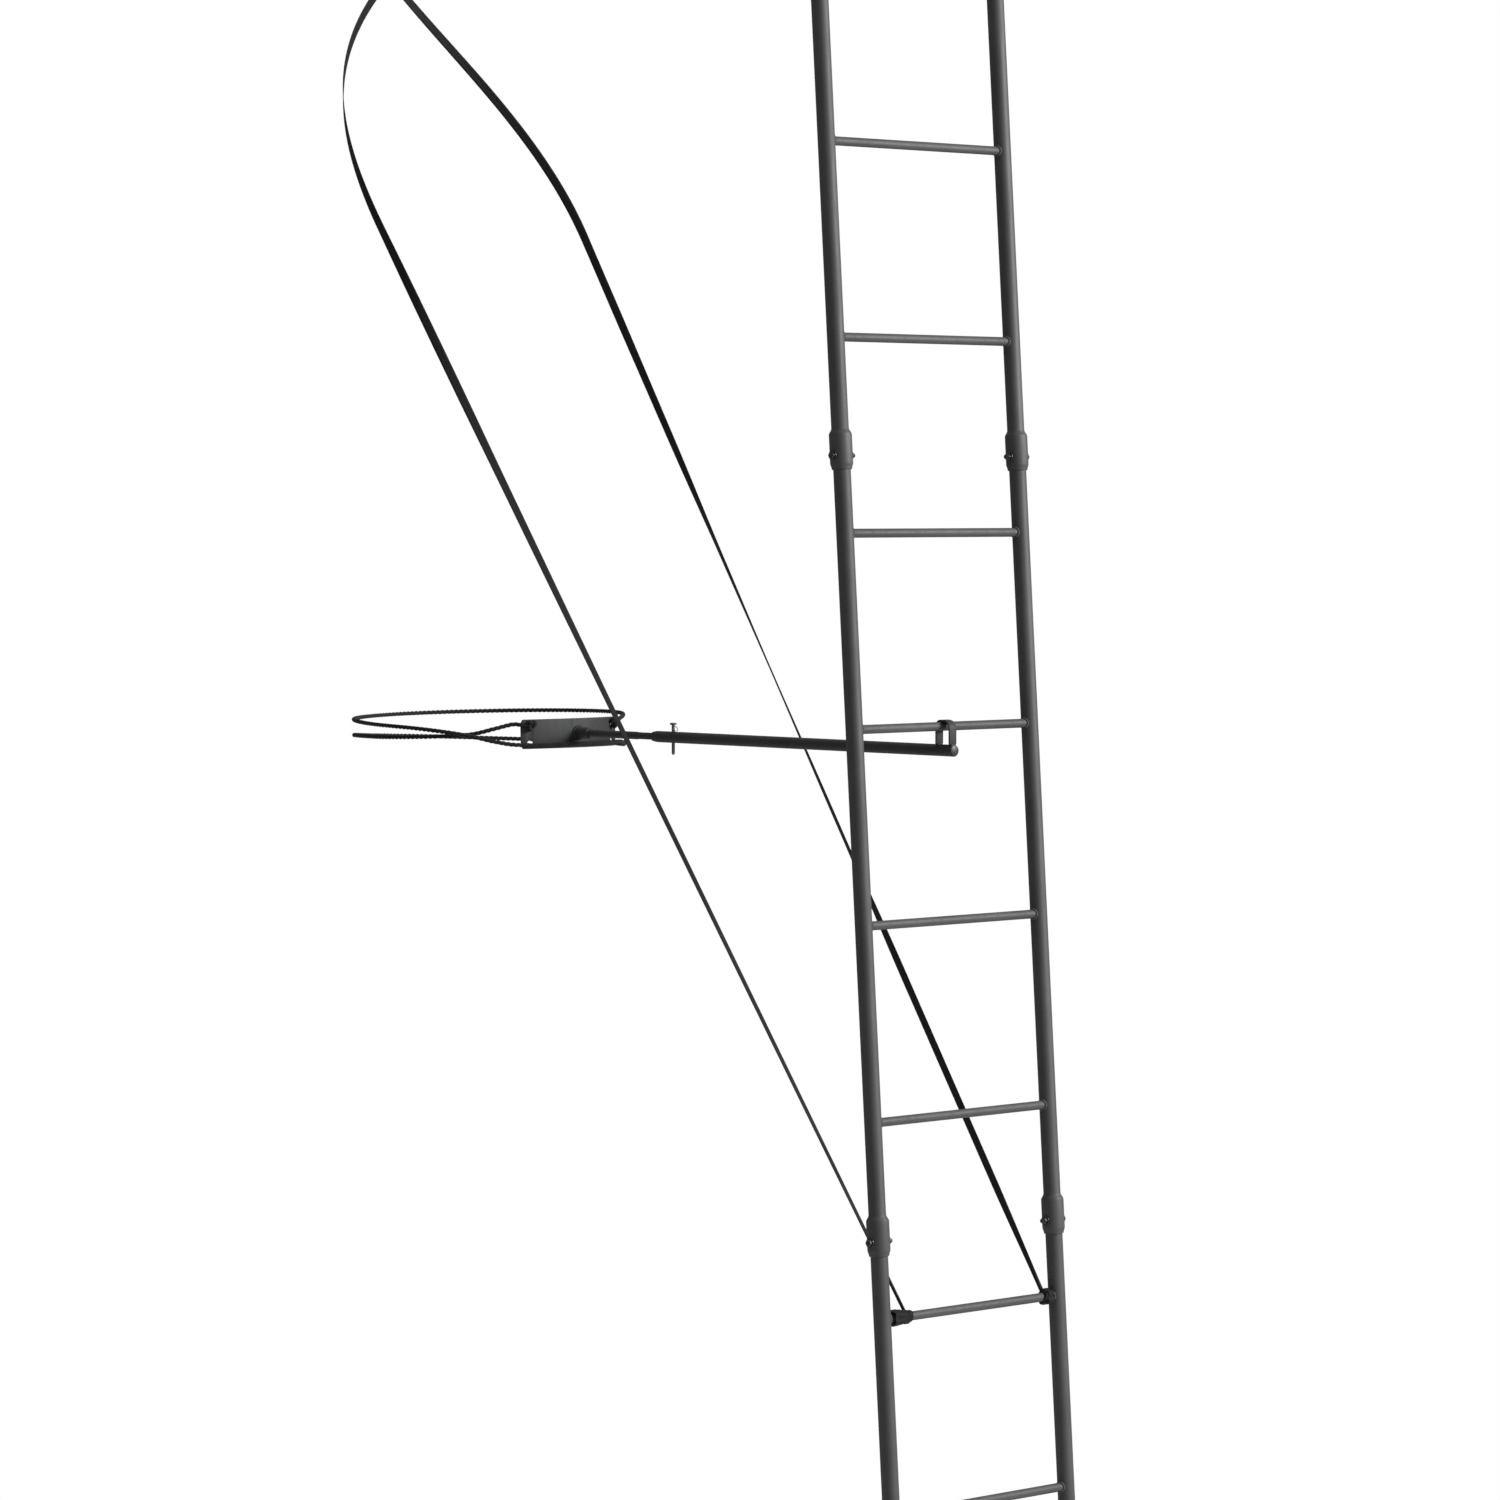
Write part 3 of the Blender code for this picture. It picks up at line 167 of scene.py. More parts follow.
SECTION_LENGTH = RUNGS_PER_SECTION * RUNG_PITCH
LADDER_LENGTH = SECTION_LENGTH * len(SECTIONS)
SIDES = (("left", -1), ("right", 1))
LADDER_BASE = Vector((0, -FOOT_DISTANCE, 0))
LADDER = Matrix.Translation(LADDER_BASE) @ Matrix.Rotation(-LEAN, 4, "X")
SIDE_UNDERSIDE = LADDER_LENGTH * cos(LEAN) + RAIL_R * sin(LEAN) + GAP
SIDE_MIDDLE_Z = SIDE_UNDERSIDE + SIDE_TUBE / 2
SIDE_TOP = SIDE_UNDERSIDE + SIDE_TUBE
CROSS_Z = SIDE_TOP + GAP + CROSS_TUBE / 2
DECK_Z = CROSS_Z + CROSS_TUBE / 2 + GAP
DECK_TOP = DECK_Z + DECK_THICKNESS
UPRIGHT_TOP = SIDE_TOP + GAP + UPRIGHT_HEIGHT
UPPER_REST_Z = UPRIGHT_TOP - UPPER_REST_DROP
PIVOT_Z = UPRIGHT_TOP - RAIL_PIVOT_DROP
ARM_Z = DECK_TOP + SEAT_HEIGHT
LOWER_REST_OUTER = TRUNK_R + REST_THICKNESS
LOWER_REST_HALF_ANGLE = asin((RAIL_X - SIDE_TUBE / 2 - 2 * GAP) / LOWER_REST_OUTER)
PLATFORM_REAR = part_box("left_side_tube")[1].y

ALONG_X = Matrix.Rotation(pi / 2, 4, "Y")
ALONG_Y = Matrix.Rotation(-pi / 2, 4, "X")
BACK_X = Matrix.Rotation(-pi / 2, 4, "Y")
BACK_Y = Matrix.Rotation(pi / 2, 4, "X")


def at(x, y, z):
    return Matrix.Translation((x, y, z))


def inwards(sign):
    """Turns what runs along Z to run from that side of the stand to its middle."""
    return Matrix.Rotation(-sign * pi / 2, 4, "Y")


def on_ladder(x, along):
    return LADDER @ Vector((x, 0, along))


def rung_along(number):
    section, step = divmod(number - 1, RUNGS_PER_SECTION)
    return section * SECTION_LENGTH + RUNG_START + step * RUNG_PITCH


def round_trunk(angle, radius, z):
    """A point round the trunk. Angle 0 is the climber's side, and it grows to their left."""
    return Vector((-radius * sin(angle), -radius * cos(angle), z))


# ---------------------------------------------------------------- shader groups


def new_node(tree, kind, values=None, **settings):
    """A shader node with its settings, and its inputs as values or as links from sockets."""
    node = tree.nodes.new(kind)
    for key, value in settings.items():
        setattr(node, key, value)
    for key, value in (values or {}).items():
        if isinstance(value, bpy.types.NodeSocket):
            tree.links.new(value, node.inputs[key])
        else:
            node.inputs[key].default_value = value
    return node


def maths(tree, operation, first, second=0.0, clamp=False):
    node = new_node(
        tree, "ShaderNodeMath", {0: first, 1: second}, operation=operation, use_clamp=clamp
    )
    return node.outputs[0]


def blend_colours(tree, share, first, second):
    node = new_node(
        tree, "ShaderNodeMix", {0: share, 6: first, 7: second}, data_type="RGBA"
    )
    return node.outputs[2]


def ramp(tree, value, low, high, to_low=0.0, to_high=1.0):
    """The value, stretched from low..high to to_low..to_high."""
    node = new_node(
        tree,
        "ShaderNodeMapRange",
        {"Value": value, 1: low, 2: high, 3: to_low, 4: to_high},
    )
    return node.outputs[0]


def speckle(tree, coordinates, scale, detail=2.0, roughness=0.5):
    node = new_node(
        tree,
        "ShaderNodeTexNoise",
        {"Vector": coordinates, "Scale": scale, "Detail": detail, "Roughness": roughness},
    )
    return node.outputs[0]


def new_group(name, inputs, outputs):
    """An empty node group with named sockets: (tree, its input sockets, its output node)."""
    tree = bpy.data.node_groups.new(name, "ShaderNodeTree")
    for label, kind in inputs:
        tree.interface.new_socket(label, in_out="INPUT", socket_type=f"NodeSocket{kind}")
    for label, kind in outputs:
        tree.interface.new_socket(label, in_out="OUTPUT", socket_type=f"NodeSocket{kind}")
    entry = tree.nodes.new("NodeGroupInput")
    leave = tree.nodes.new("NodeGroupOutput")
    return tree, entry.outputs, leave.inputs


def make_grain_group():
    """Fine relief and slow unevenness of a sprayed or moulded surface."""
    tree, given, made = new_group(
        "surface grain",
        (("Place", "Vector"), ("Fineness", "Float"), ("Patch size", "Float")),
        (("Relief", "Float"), ("Patches", "Float"), ("Streaks", "Float")),
    )
    fine = speckle(tree, given["Place"], given["Fineness"], 3.0, 0.6)
    patches = speckle(tree, given["Place"], given["Patch size"], 4.0, 0.55)
    stretched = new_node(
        tree, "ShaderNodeMapping", {"Vector": given["Place"], "Scale": (1.0, 1.0, 0.12)}
    )
    streaks = speckle(tree, stretched.outputs[0], 90.0, 3.0, 0.6)
    tree.links.new(fine, made["Relief"])
    tree.links.new(ramp(tree, patches, 0.35, 0.65), made["Patches"])
    tree.links.new(ramp(tree, streaks, 0.45, 0.75), made["Streaks"])
    return tree


def make_wear_group():
    """Where an edge has rubbed through: edges found by rounding the normal, then broken up."""
    tree, given, made = new_group(
        "edge wear",
        (("Place", "Vector"), ("Width", "Float"), ("Amount", "Float")),
        (("Worn", "Float"),),
    )
    rounded = new_node(tree, "ShaderNodeBevel", {"Radius": given["Width"]}, samples=4)
    facing = new_node(tree, "ShaderNodeNewGeometry")
    alike = new_node(
        tree,
        "ShaderNodeVectorMath",
        {0: rounded.outputs[0], 1: facing.outputs["Normal"]},
        operation="DOT_PRODUCT",
    )
    edge = ramp(tree, alike.outputs["Value"], 0.985, 0.86)
    broken = ramp(tree, speckle(tree, given["Place"], 160.0, 4.0, 0.7), 0.42, 0.62)
    worn = maths(tree, "MULTIPLY", edge, broken)
    worn = maths(tree, "MULTIPLY", worn, given["Amount"], clamp=True)
    tree.links.new(worn, made["Worn"])
    return tree


def make_dust_group():
    """Dust that settles on what faces up."""
    tree, given, made = new_group(
        "settled dust", (("Place", "Vector"), ("Amount", "Float")), (("Dusty", "Float"),)
    )
    facing = new_node(tree, "ShaderNodeNewGeometry")
    parts = new_node(tree, "ShaderNodeSeparateXYZ", {0: facing.outputs["Normal"]})
    up = ramp(tree, parts.outputs["Z"], 0.35, 0.95)
    cloud = ramp(tree, speckle(tree, given["Place"], 26.0, 5.0, 0.65), 0.40, 0.72)
    dusty = maths(tree, "MULTIPLY", up, cloud)
    dusty = maths(tree, "MULTIPLY", dusty, given["Amount"], clamp=True)
    tree.links.new(dusty, made["Dusty"])
    return tree


def make_weave_group():
    """Crossing threads. Along and Across are distances on the cloth, in metres."""
    tree, given, made = new_group(
        "weave",
        (
            ("Along", "Float"),
            ("Across", "Float"),
            ("Pick", "Float"),
            ("Thread", "Float"),
        ),
        (("Relief", "Float"), ("Shade", "Float")),
    )
    along = maths(tree, "MULTIPLY", maths(tree, "DIVIDE", given["Along"], given["Pick"]), pi)
    across = maths(
        tree, "MULTIPLY", maths(tree, "DIVIDE", given["Across"], given["Thread"]), pi
    )
    wave_a, wave_b = maths(tree, "SINE", along), maths(tree, "SINE", across)
    crossing = maths(tree, "MULTIPLY", wave_a, wave_b)
    warp = maths(tree, "ABSOLUTE", wave_b)
    weft = maths(tree, "ABSOLUTE", wave_a)
    over = maths(tree, "GREATER_THAN", crossing, 0.0)
    picked = new_node(tree, "ShaderNodeMix", {0: over, 2: warp, 3: weft})
    tree.links.new(picked.outputs[0], made["Relief"])
    tree.links.new(ramp(tree, crossing, -0.8, 0.8), made["Shade"])
    return tree


GROUPS = {
    "grain": make_grain_group(),
    "wear": make_wear_group(),
    "dust": make_dust_group(),
    "weave": make_weave_group(),
}


def put_group(tree, name, values):
    return new_node(tree, "ShaderNodeGroup", values, node_tree=GROUPS[name]).outputs


def stored(tree, name):
    """A distance that swept() keeps on each vertex."""
    return new_node(tree, "ShaderNodeAttribute", attribute_name=name).outputs["Fac"]


# ---------------------------------------------------------------- materials


def start_material(name):
    """A new material: (material, its tree, its shader, its object coordinates)."""
    material = bpy.data.materials.new(name)
    material.use_nodes = True
    tree = material.node_tree
    shader = tree.nodes["Principled BSDF"]
    place = new_node(tree, "ShaderNodeTexCoord").outputs["Object"]
    return material, tree, shader, place


def set_bump(tree, shader, height, distance, strength):
    bump = new_node(
        tree, "ShaderNodeBump", {"Height": height, "Distance": distance, "Strength": strength}
    )
    tree.links.new(bump.outputs[0], shader.inputs["Normal"])


def coated_metal(name, colour, darker, bare, roughness, wear, dust, fineness, specular):
    """Paint over steel: uneven colour, fine relief, worn edges and a little dust."""
    material, tree, shader, place = start_material(name)
    grain = put_group(
        tree, "grain", {"Place": place, "Fineness": fineness, "Patch size": 9.0}
    )
    worn = put_group(tree, "wear", {"Place": place, "Width": 0.0012, "Amount": wear})["Worn"]
    dusty = put_group(tree, "dust", {"Place": place, "Amount": dust})["Dusty"]
    paint = blend_colours(tree, grain["Patches"], (*darker, 1), (*colour, 1))
    rubbed = blend_colours(tree, worn, paint, (*bare, 1))
    top = blend_colours(tree, dusty, rubbed, (0.21, 0.19, 0.16, 1))
    tree.links.new(top, shader.inputs["Base Color"])
    gloss = ramp(tree, grain["Streaks"], 0.0, 1.0, roughness, roughness + 0.12)
    gloss = maths(tree, "ADD", gloss, maths(tree, "MULTIPLY", dusty, 0.3), clamp=True)
    tree.links.new(gloss, shader.inputs["Roughness"])
    tree.links.new(maths(tree, "MULTIPLY", worn, 0.6), shader.inputs["Metallic"])
    shader.inputs["Specular IOR Level"].default_value = specular
    set_bump(tree, shader, grain["Relief"], 0.00035, 0.35)
    return material


def plated_steel(name, colour, roughness):
    """Blackened zinc plating: metal with a mottled film and bright rubbed edges."""
    material, tree, shader, place = start_material(name)
    grain = put_group(
        tree, "grain", {"Place": place, "Fineness": 900.0, "Patch size": 60.0}
    )
    worn = put_group(tree, "wear", {"Place": place, "Width": 0.0007, "Amount": 0.8})["Worn"]
    film = blend_colours(
        tree, grain["Patches"], (*colour, 1), (*(1.5 * c for c in colour), 1)
    )
    top = blend_colours(tree, worn, film, (0.32, 0.31, 0.29, 1))
    tree.links.new(top, shader.inputs["Base Color"])
    gloss = ramp(tree, grain["Streaks"], 0.0, 1.0, roughness, roughness + 0.15)
    tree.links.new(gloss, shader.inputs["Roughness"])
    shader.inputs["Metallic"].default_value = 0.85
    set_bump(tree, shader, grain["Relief"], 0.0001, 0.3)
    return material


def webbing_material(name, colour, pick, thread):
    """Flat woven strap. It reads the along and across distances stored on the piece."""
    material, tree, shader, place = start_material(name)
    along, across = stored(tree, "along"), stored(tree, "across")
    # Half a pick's slant makes the ribs run as a fine herringbone down the strap's middle.
    slant = maths(tree, "MULTIPLY", maths(tree, "ABSOLUTE", across), 0.55)
    woven = put_group(
        tree,
        "weave",
        {
            "Along": maths(tree, "ADD", along, slant),
            "Across": across,
            "Pick": pick,
            "Thread": thread,
        },
    )
    grain = put_group(tree, "grain", {"Place": place, "Fineness": 1500.0, "Patch size": 18.0})
    light = tuple(min(1.0, 1.9 * c) for c in colour)
    threads = blend_colours(tree, woven["Shade"], (*colour, 1), (*light, 1))
    faded = maths(tree, "MULTIPLY", grain["Patches"], 0.3)
    faded = blend_colours(tree, faded, threads, (*(1.5 * c for c in light), 1))
    tree.links.new(faded, shader.inputs["Base Color"])
    tree.links.new(ramp(tree, woven["Relief"], 0.0, 1.0, 0.85, 0.6), shader.inputs["Roughness"])
    shader.inputs["Sheen Weight"].default_value = 0.03
    shader.inputs["Specular IOR Level"].default_value = 0.25
    height = maths(tree, "ADD", woven["Relief"], maths(tree, "MULTIPLY", grain["Relief"], 0.4))
    set_bump(tree, shader, height, 0.0003, 0.8)
    return material


def rope_material():
    """Laid rope: painted shade darkens the grooves between its yarns, with loose fibres along each
    strand.
    """
    material, tree, shader, place = start_material("dark laid rope")
    along, across = stored(tree, "along"), stored(tree, "across")
    lean = maths(tree, "MULTIPLY", across, 25.0)
    yarn = maths(tree, "ADD", maths(tree, "MULTIPLY", along, 1500.0), lean)
    yarn = ramp(tree, maths(tree, "SINE", yarn), -1.0, 1.0)
    grain = put_group(tree, "grain", {"Place": place, "Fineness": 1800.0, "Patch size": 30.0})
    # Painted shade: the yarn stripes that raise the bump are painted dark in their grooves and
    # lighter on their crowns.
    fibre_with_painted_shade = blend_colours(tree, yarn, (0.0055, 0.0045, 0.0038, 1), (0.017, 0.014, 0.011, 1))
    soiled = maths(tree, "MULTIPLY", grain["Patches"], 0.5)
    top = blend_colours(tree, soiled, fibre_with_painted_shade, (0.026, 0.021, 0.017, 1))
    tree.links.new(top, shader.inputs["Base Color"])
    tree.links.new(ramp(tree, grain["Streaks"], 0.0, 1.0, 0.8, 0.95), shader.inputs["Roughness"])
    shader.inputs["Sheen Weight"].default_value = 0.04
    shader.inputs["Specular IOR Level"].default_value = 0.25
    height = maths(tree, "ADD", yarn, maths(tree, "MULTIPLY", grain["Relief"], 0.8))
    set_bump(tree, shader, height, 0.0003, 0.7)
    return material


def cloth_material():
    """Coarse olive canvas, its threads laid over all sides of the cushion."""
    material, tree, shader, place = start_material("seat canvas")
    parts = new_node(tree, "ShaderNodeSeparateXYZ", {0: place}).outputs
    wobble = maths(tree, "MULTIPLY", speckle(tree, place, 40.0), 0.002)
    along = maths(tree, "ADD", maths(tree, "ADD", parts["X"], parts["Z"]), wobble)
    across = maths(tree, "ADD", maths(tree, "ADD", parts["Y"], parts["Z"]), wobble)
    woven = put_group(
        tree, "weave", {"Along": along, "Across": across, "Pick": 0.0011, "Thread": 0.0011}
    )
    grain = put_group(tree, "grain", {"Place": place, "Fineness": 1400.0, "Patch size": 14.0})
    dusty = put_group(tree, "dust", {"Place": place, "Amount": 0.25})["Dusty"]
    threads = blend_colours(
        tree, woven["Shade"], (0.026, 0.029, 0.022, 1), (0.052, 0.056, 0.042, 1)
    )
    patchy = maths(tree, "MULTIPLY", grain["Patches"], 0.4)
    threads = blend_colours(tree, patchy, threads, (0.060, 0.061, 0.050, 1))
    top = blend_colours(tree, dusty, threads, (0.15, 0.14, 0.12, 1))
    tree.links.new(top, shader.inputs["Base Color"])
    tree.links.new(ramp(tree, woven["Relief"], 0.0, 1.0, 0.95, 0.78), shader.inputs["Roughness"])
    shader.inputs["Sheen Weight"].default_value = 0.25
    height = maths(tree, "ADD", woven["Relief"], maths(tree, "MULTIPLY", grain["Relief"], 0.3))
    set_bump(tree, shader, height, 0.0004, 0.8)
    return material


def foam_material():
    """Closed-cell foam: matt skin with pores."""
    material, tree, shader, place = start_material("black foam")
    cells = new_node(
        tree, "ShaderNodeTexVoronoi", {"Vector": place, "Scale": 420.0}, feature="F1"
    ).outputs["Distance"]
    grain = put_group(tree, "grain", {"Place": place, "Fineness": 700.0, "Patch size": 22.0})
    dusty = put_group(tree, "dust", {"Place": place, "Amount": 0.3})["Dusty"]
    skin = blend_colours(
        tree, grain["Patches"], (0.014, 0.014, 0.015, 1), (0.026, 0.026, 0.027, 1)
    )
    top = blend_colours(tree, dusty, skin, (0.10, 0.10, 0.09, 1))
    tree.links.new(top, shader.inputs["Base Color"])
    tree.links.new(ramp(tree, cells, 0.0, 0.6, 0.95, 0.8), shader.inputs["Roughness"])
    height = maths(tree, "ADD", cells, maths(tree, "MULTIPLY", grain["Relief"], 0.5))
    set_bump(tree, shader, height, 0.0005, 0.6)
    return material


def plastic_material():
    """Moulded black plastic with a fine eroded texture."""
    material, tree, shader, place = start_material("moulded black plastic")
    grain = put_group(tree, "grain", {"Place": place, "Fineness": 1300.0, "Patch size": 35.0})
    worn = put_group(tree, "wear", {"Place": place, "Width": 0.0008, "Amount": 0.6})["Worn"]
    base = blend_colours(
        tree, grain["Patches"], (0.018, 0.018, 0.019, 1), (0.030, 0.030, 0.031, 1)
    )
    top = blend_colours(tree, worn, base, (0.085, 0.085, 0.085, 1))
    tree.links.new(top, shader.inputs["Base Color"])
    tree.links.new(ramp(tree, grain["Streaks"], 0.0, 1.0, 0.45, 0.6), shader.inputs["Roughness"])
    set_bump(tree, shader, grain["Relief"], 0.0002, 0.5)
    return material


def stitch_material():
    """Waxed sewing thread, its tone and relief a little uneven."""
    material, tree, shader, place = start_material("sewing thread")
    grain = put_group(tree, "grain", {"Place": place, "Fineness": 2500.0, "Patch size": 80.0})
    top = blend_colours(
        tree, grain["Patches"], (0.085, 0.080, 0.070, 1), (0.15, 0.14, 0.12, 1)
    )
    tree.links.new(top, shader.inputs["Base Color"])
    shader.inputs["Roughness"].default_value = 0.6
    set_bump(tree, shader, grain["Relief"], 0.0002, 0.6)
    return material


PAINT = coated_metal(
    "charcoal powder coat",
    (0.066, 0.066, 0.067),
    (0.054, 0.054, 0.055),
    (0.15, 0.145, 0.14),
    0.56,
    0.6,
    0.2,
    750.0,
    0.40,
)
BRACE_PAINT = coated_metal(
    "dark bracket enamel",
    (0.038, 0.040, 0.038),
    (0.028, 0.031, 0.029),
    (0.10, 0.09, 0.08),
    0.60,
    0.7,
    0.12,
    1100.0,
    0.30,
)
ZINC = plated_steel("blackened zinc", (0.060, 0.060, 0.062), 0.34)
PIN_STEEL = plated_steel("pin steel", (0.11, 0.11, 0.11), 0.36)
WEBBING = webbing_material("black webbing", (0.0040, 0.0037, 0.0034), 0.0013, 0.0016)
ROPE = rope_material()
CANVAS = cloth_material()
FOAM = foam_material()
PLASTIC = plastic_material()
THREAD = stitch_material()

# ---------------------------------------------------------------- tools for shapes


def mesh_of(bm, name):
    """The shape as a mesh. The bmesh is freed."""
    mesh = bpy.data.meshes.new(name)
    bm.to_mesh(mesh)
    bm.free()
    return mesh


def new_object(name, data):
    obj = bpy.data.objects.new(name, data)
    bpy.context.scene.collection.objects.link(obj)
    return obj


def add_to(whole, part, matrix=None):
    """Puts one shape into another, and frees it."""
    if matrix is not None:
        bmesh.ops.transform(part, matrix=matrix, verts=part.verts)
        if matrix.determinant() < 0:
            bmesh.ops.reverse_faces(part, faces=part.faces)
    mesh = mesh_of(part, "part")
    whole.from_mesh(mesh)
    bpy.data.meshes.remove(mesh)


def moved(bm, matrix):
    bmesh.ops.transform(bm, matrix=matrix, verts=bm.verts)
    return bm


def bevel(bm, edges, width, segments, clamp=False):
    bmesh.ops.bevel(
        bm,
        geom=edges,
        offset=width,
        segments=segments,
        profile=0.5,
        affect="EDGES",
        material=-1,
        clamp_overlap=clamp,
    )
    return bm


def upright_edges(bm, height):
    """The edges that rise more than height."""
    return [e for e in bm.edges if abs((e.verts[0].co - e.verts[1].co).z) > height]


def tidied(bm):
    bmesh.ops.remove_doubles(bm, verts=bm.verts, dist=1e-6)
    bmesh.ops.recalc_face_normals(bm, faces=bm.faces)
    return bm


def spun(profile, sides):
    """A shape turned about Z from (radius, height) points: solid where the profile starts and
    ends on the axis, and a ring otherwise."""
    bm = bmesh.new()
    verts = [bm.verts.new((r, 0, z)) for r, z in profile]
    solid = profile[0][0] == 0 and profile[-1][0] == 0
    ends = verts[1:] if solid else verts[1:] + verts[:1]
    edges = [bm.edges.new(pair) for pair in zip(verts, ends)]
    bmesh.ops.spin(
        bm,
        geom=verts + edges,
        axis=(0, 0, 1),
        cent=(0, 0, 0),
        steps=sides,
        angle=2 * pi,
        use_merge=True,
    )
    return tidied(bm)


def soften(bm, width, segments=2, sharper=30):
    """Rounds every edge that is sharper than that many degrees."""
    edges = [e for e in bm.edges if e.is_manifold and e.calc_face_angle() > radians(sharper)]
    return bevel(bm, edges, width, segments, True)


def rounded_box(size, matrix=None, corner=0.001, segments=2):
    bm = bmesh.new()
    bmesh.ops.create_cube(bm, size=1, matrix=Matrix.Diagonal((*size, 1)))
    soften(bm, corner, segments)
    if matrix is not None:
        moved(bm, matrix)
    return bm


def rounded_bar(side, length, corner=0.0035):
    """A square bar along Z from its end at the origin, its long edges rounded as a drawn
    tube's are."""
    bm = bmesh.new()
    bmesh.ops.create_cube(
        bm, size=1, matrix=at(0, 0, length / 2) @ Matrix.Diagonal((side, side, length, 1))
    )
    return bevel(bm, upright_edges(bm, length / 2), corner, 5)


def end_cap(side):
    """A plug in a square tube's end: its flange lies outside and is a little domed."""
    bm = rounded_bar(side - 0.0006, 0.0026, 0.0034)
    top = [f for f in bm.faces if f.normal.z > 0.9]
    return bevel(bm, [e for f in top for e in f.edges], 0.0011, 3)


def hexagon(radius, low, high, chamfer=0.0007):
    bm = bmesh.new()
    bmesh.ops.create_cone(
        bm,
        cap_ends=True,
        segments=6,
        radius1=radius,
        radius2=radius,
        depth=high - low,
        matrix=at(0, 0, (high + low) / 2),
    )
    return soften(bm, chamfer, 2)


def swept(points, outlines, closed=False, up=None):
    """A skin drawn along points. outlines is one outline, or one for each point, of
    (sideways, outwards) pairs; up gives the outward direction at a point. Each vertex keeps
    its distance along the sweep and its sideways place."""
    count = len(points)
    each = outlines if isinstance(outlines[0][0], tuple) else [outlines] * count
    bm = bmesh.new()
    along_layer = bm.verts.layers.float.new("along")
    across_layer = bm.verts.layers.float.new("across")
    loops, distance = [], 0.0
    for k, point in enumerate(points):
        before = points[k - 1] if k or closed else point
        after = points[(k + 1) % count] if k < count - 1 or closed else point
        if k:
            distance += (point - points[k - 1]).length
        tangent = (after - before).normalized()
        outward = up(point, k) if up else Vector((0, 0, 1))
        side = tangent.cross(outward).normalized()
        out = side.cross(tangent)
        verts = []
        for sideways, outwards in each[k]:
            vert = bm.verts.new(point + side * sideways + out * outwards)
            vert[along_layer] = distance
            vert[across_layer] = sideways
            verts.append(vert)
        loops.append([bm.edges.new(pair) for pair in zip(verts, verts[1:] + verts[:1])])
    for first, second in zip(loops, loops[1:] + (loops[:1] if closed else [])):
        bmesh.ops.bridge_loops(bm, edges=first + second)
    if not closed:
        for loop in (loops[0], loops[-1]):
            bmesh.ops.contextual_create(bm, geom=loop)
    bmesh.ops.recalc_face_normals(bm, faces=bm.faces)
    return bm


def circle(radius, sides, flat=1.0):
    """A round outline, squashed outwards by flat."""
    return [
        (radius * cos(2 * pi * k / sides), flat * radius * sin(2 * pi * k / sides))
        for k in range(sides)
    ]


def strap_outline(width, thickness, curl=0.0):
    """A flat strap's section. curl folds its edges in, as where it is gathered."""
    half, thin = width / 2, thickness / 2
    flat = [-0.94, -0.5, 0.0, 0.5, 0.94]
    top = [(x * half, thin + curl * half * x * x) for x in flat]
    low = [(x * half, -thin + curl * half * x * x) for x in reversed(flat)]
    return [(-half, curl * half), *top, (half, curl * half), *low]


def away_from_trunk(point, _):
    return Vector((point.x, point.y, 0)).normalized()


# On a shape that is still at the origin, the Z axis is its own and not the trunk's.
away_from_axis = away_from_trunk


def facing_x(*_):
    return Vector((1, 0, 0))


def facing_y(*_):
    return Vector((0, 1, 0))


def eased(t):
    return t * t * (3 - 2 * t)


def heading(path, k):
    """The direction of an open path at its point k."""
    before, after = path[max(k - 1, 0)], path[min(k + 1, len(path) - 1)]
    return (after - before).normalized()


def trefoil(count):
    """Points of a knot drawn tight: it fills its own middle, as a real stopper knot does."""
    turns = (2 * pi * k / count for k in range(count))
    return [(sin(t) + 2 * sin(2 * t), cos(t) - 2 * cos(2 * t), -sin(3 * t)) for t in turns]


def smooth_path(points, step):
    """Points every step or so along a smooth curve through the given ones."""
    points = [Vector(p) for p in points]
    line = [2 * points[0] - points[1], *points, 2 * points[-1] - points[-2]]
    path = []
    for a, b, c, d in zip(line, line[1:], line[2:], line[3:]):
        count = max(1, ceil((c - b).length / step))
        for k in range(count):
            t = k / count
            path.append(
                0.5
                * (
                    2 * b
                    + (c - a) * t
                    + (2 * a - 5 * b + 4 * c - d) * t**2
                    + (3 * b - a - 3 * c + d) * t**3
                )
            )
    return path + [points[-1]]


def trunk_path(route, z, step):
    """A smooth path round the trunk, through (angle, height above z, distance off the bark)."""
    rolled = [Vector((angle * TRUNK_R, height, lift)) for angle, height, lift in route]
    return [
        round_trunk(p.x / TRUNK_R, TRUNK_R + p.z, z + p.y) for p in smooth_path(rolled, step)
    ]


def rounded_corner(corner, before, after, radius, steps=10):
    """Points of the arc that rounds a corner between two others."""
    towards, away = (before - corner).normalized(), (after - corner).normalized()
    half = towards.angle(away) / 2
    centre = corner + (towards + away).normalized() * radius / sin(half)
    start = corner + towards * (radius * cos(half) / sin(half)) - centre
    end = corner + away * (radius * cos(half) / sin(half)) - centre
    return [
        centre + start.slerp(end, k / steps).normalized() * radius for k in range(steps + 1)
    ]


def prism(outline, depth):
    """An outline in XY, extruded along Z."""
    bm = bmesh.new()
    face = bm.faces.new([bm.verts.new((x, y, 0)) for x, y in outline])
    grown = bmesh.ops.extrude_face_region(bm, geom=[face])
    top = [v for v in grown["geom"] if isinstance(v, bmesh.types.BMVert)]
    bmesh.ops.translate(bm, verts=top, vec=(0, 0, depth))
    return tidied(bm)


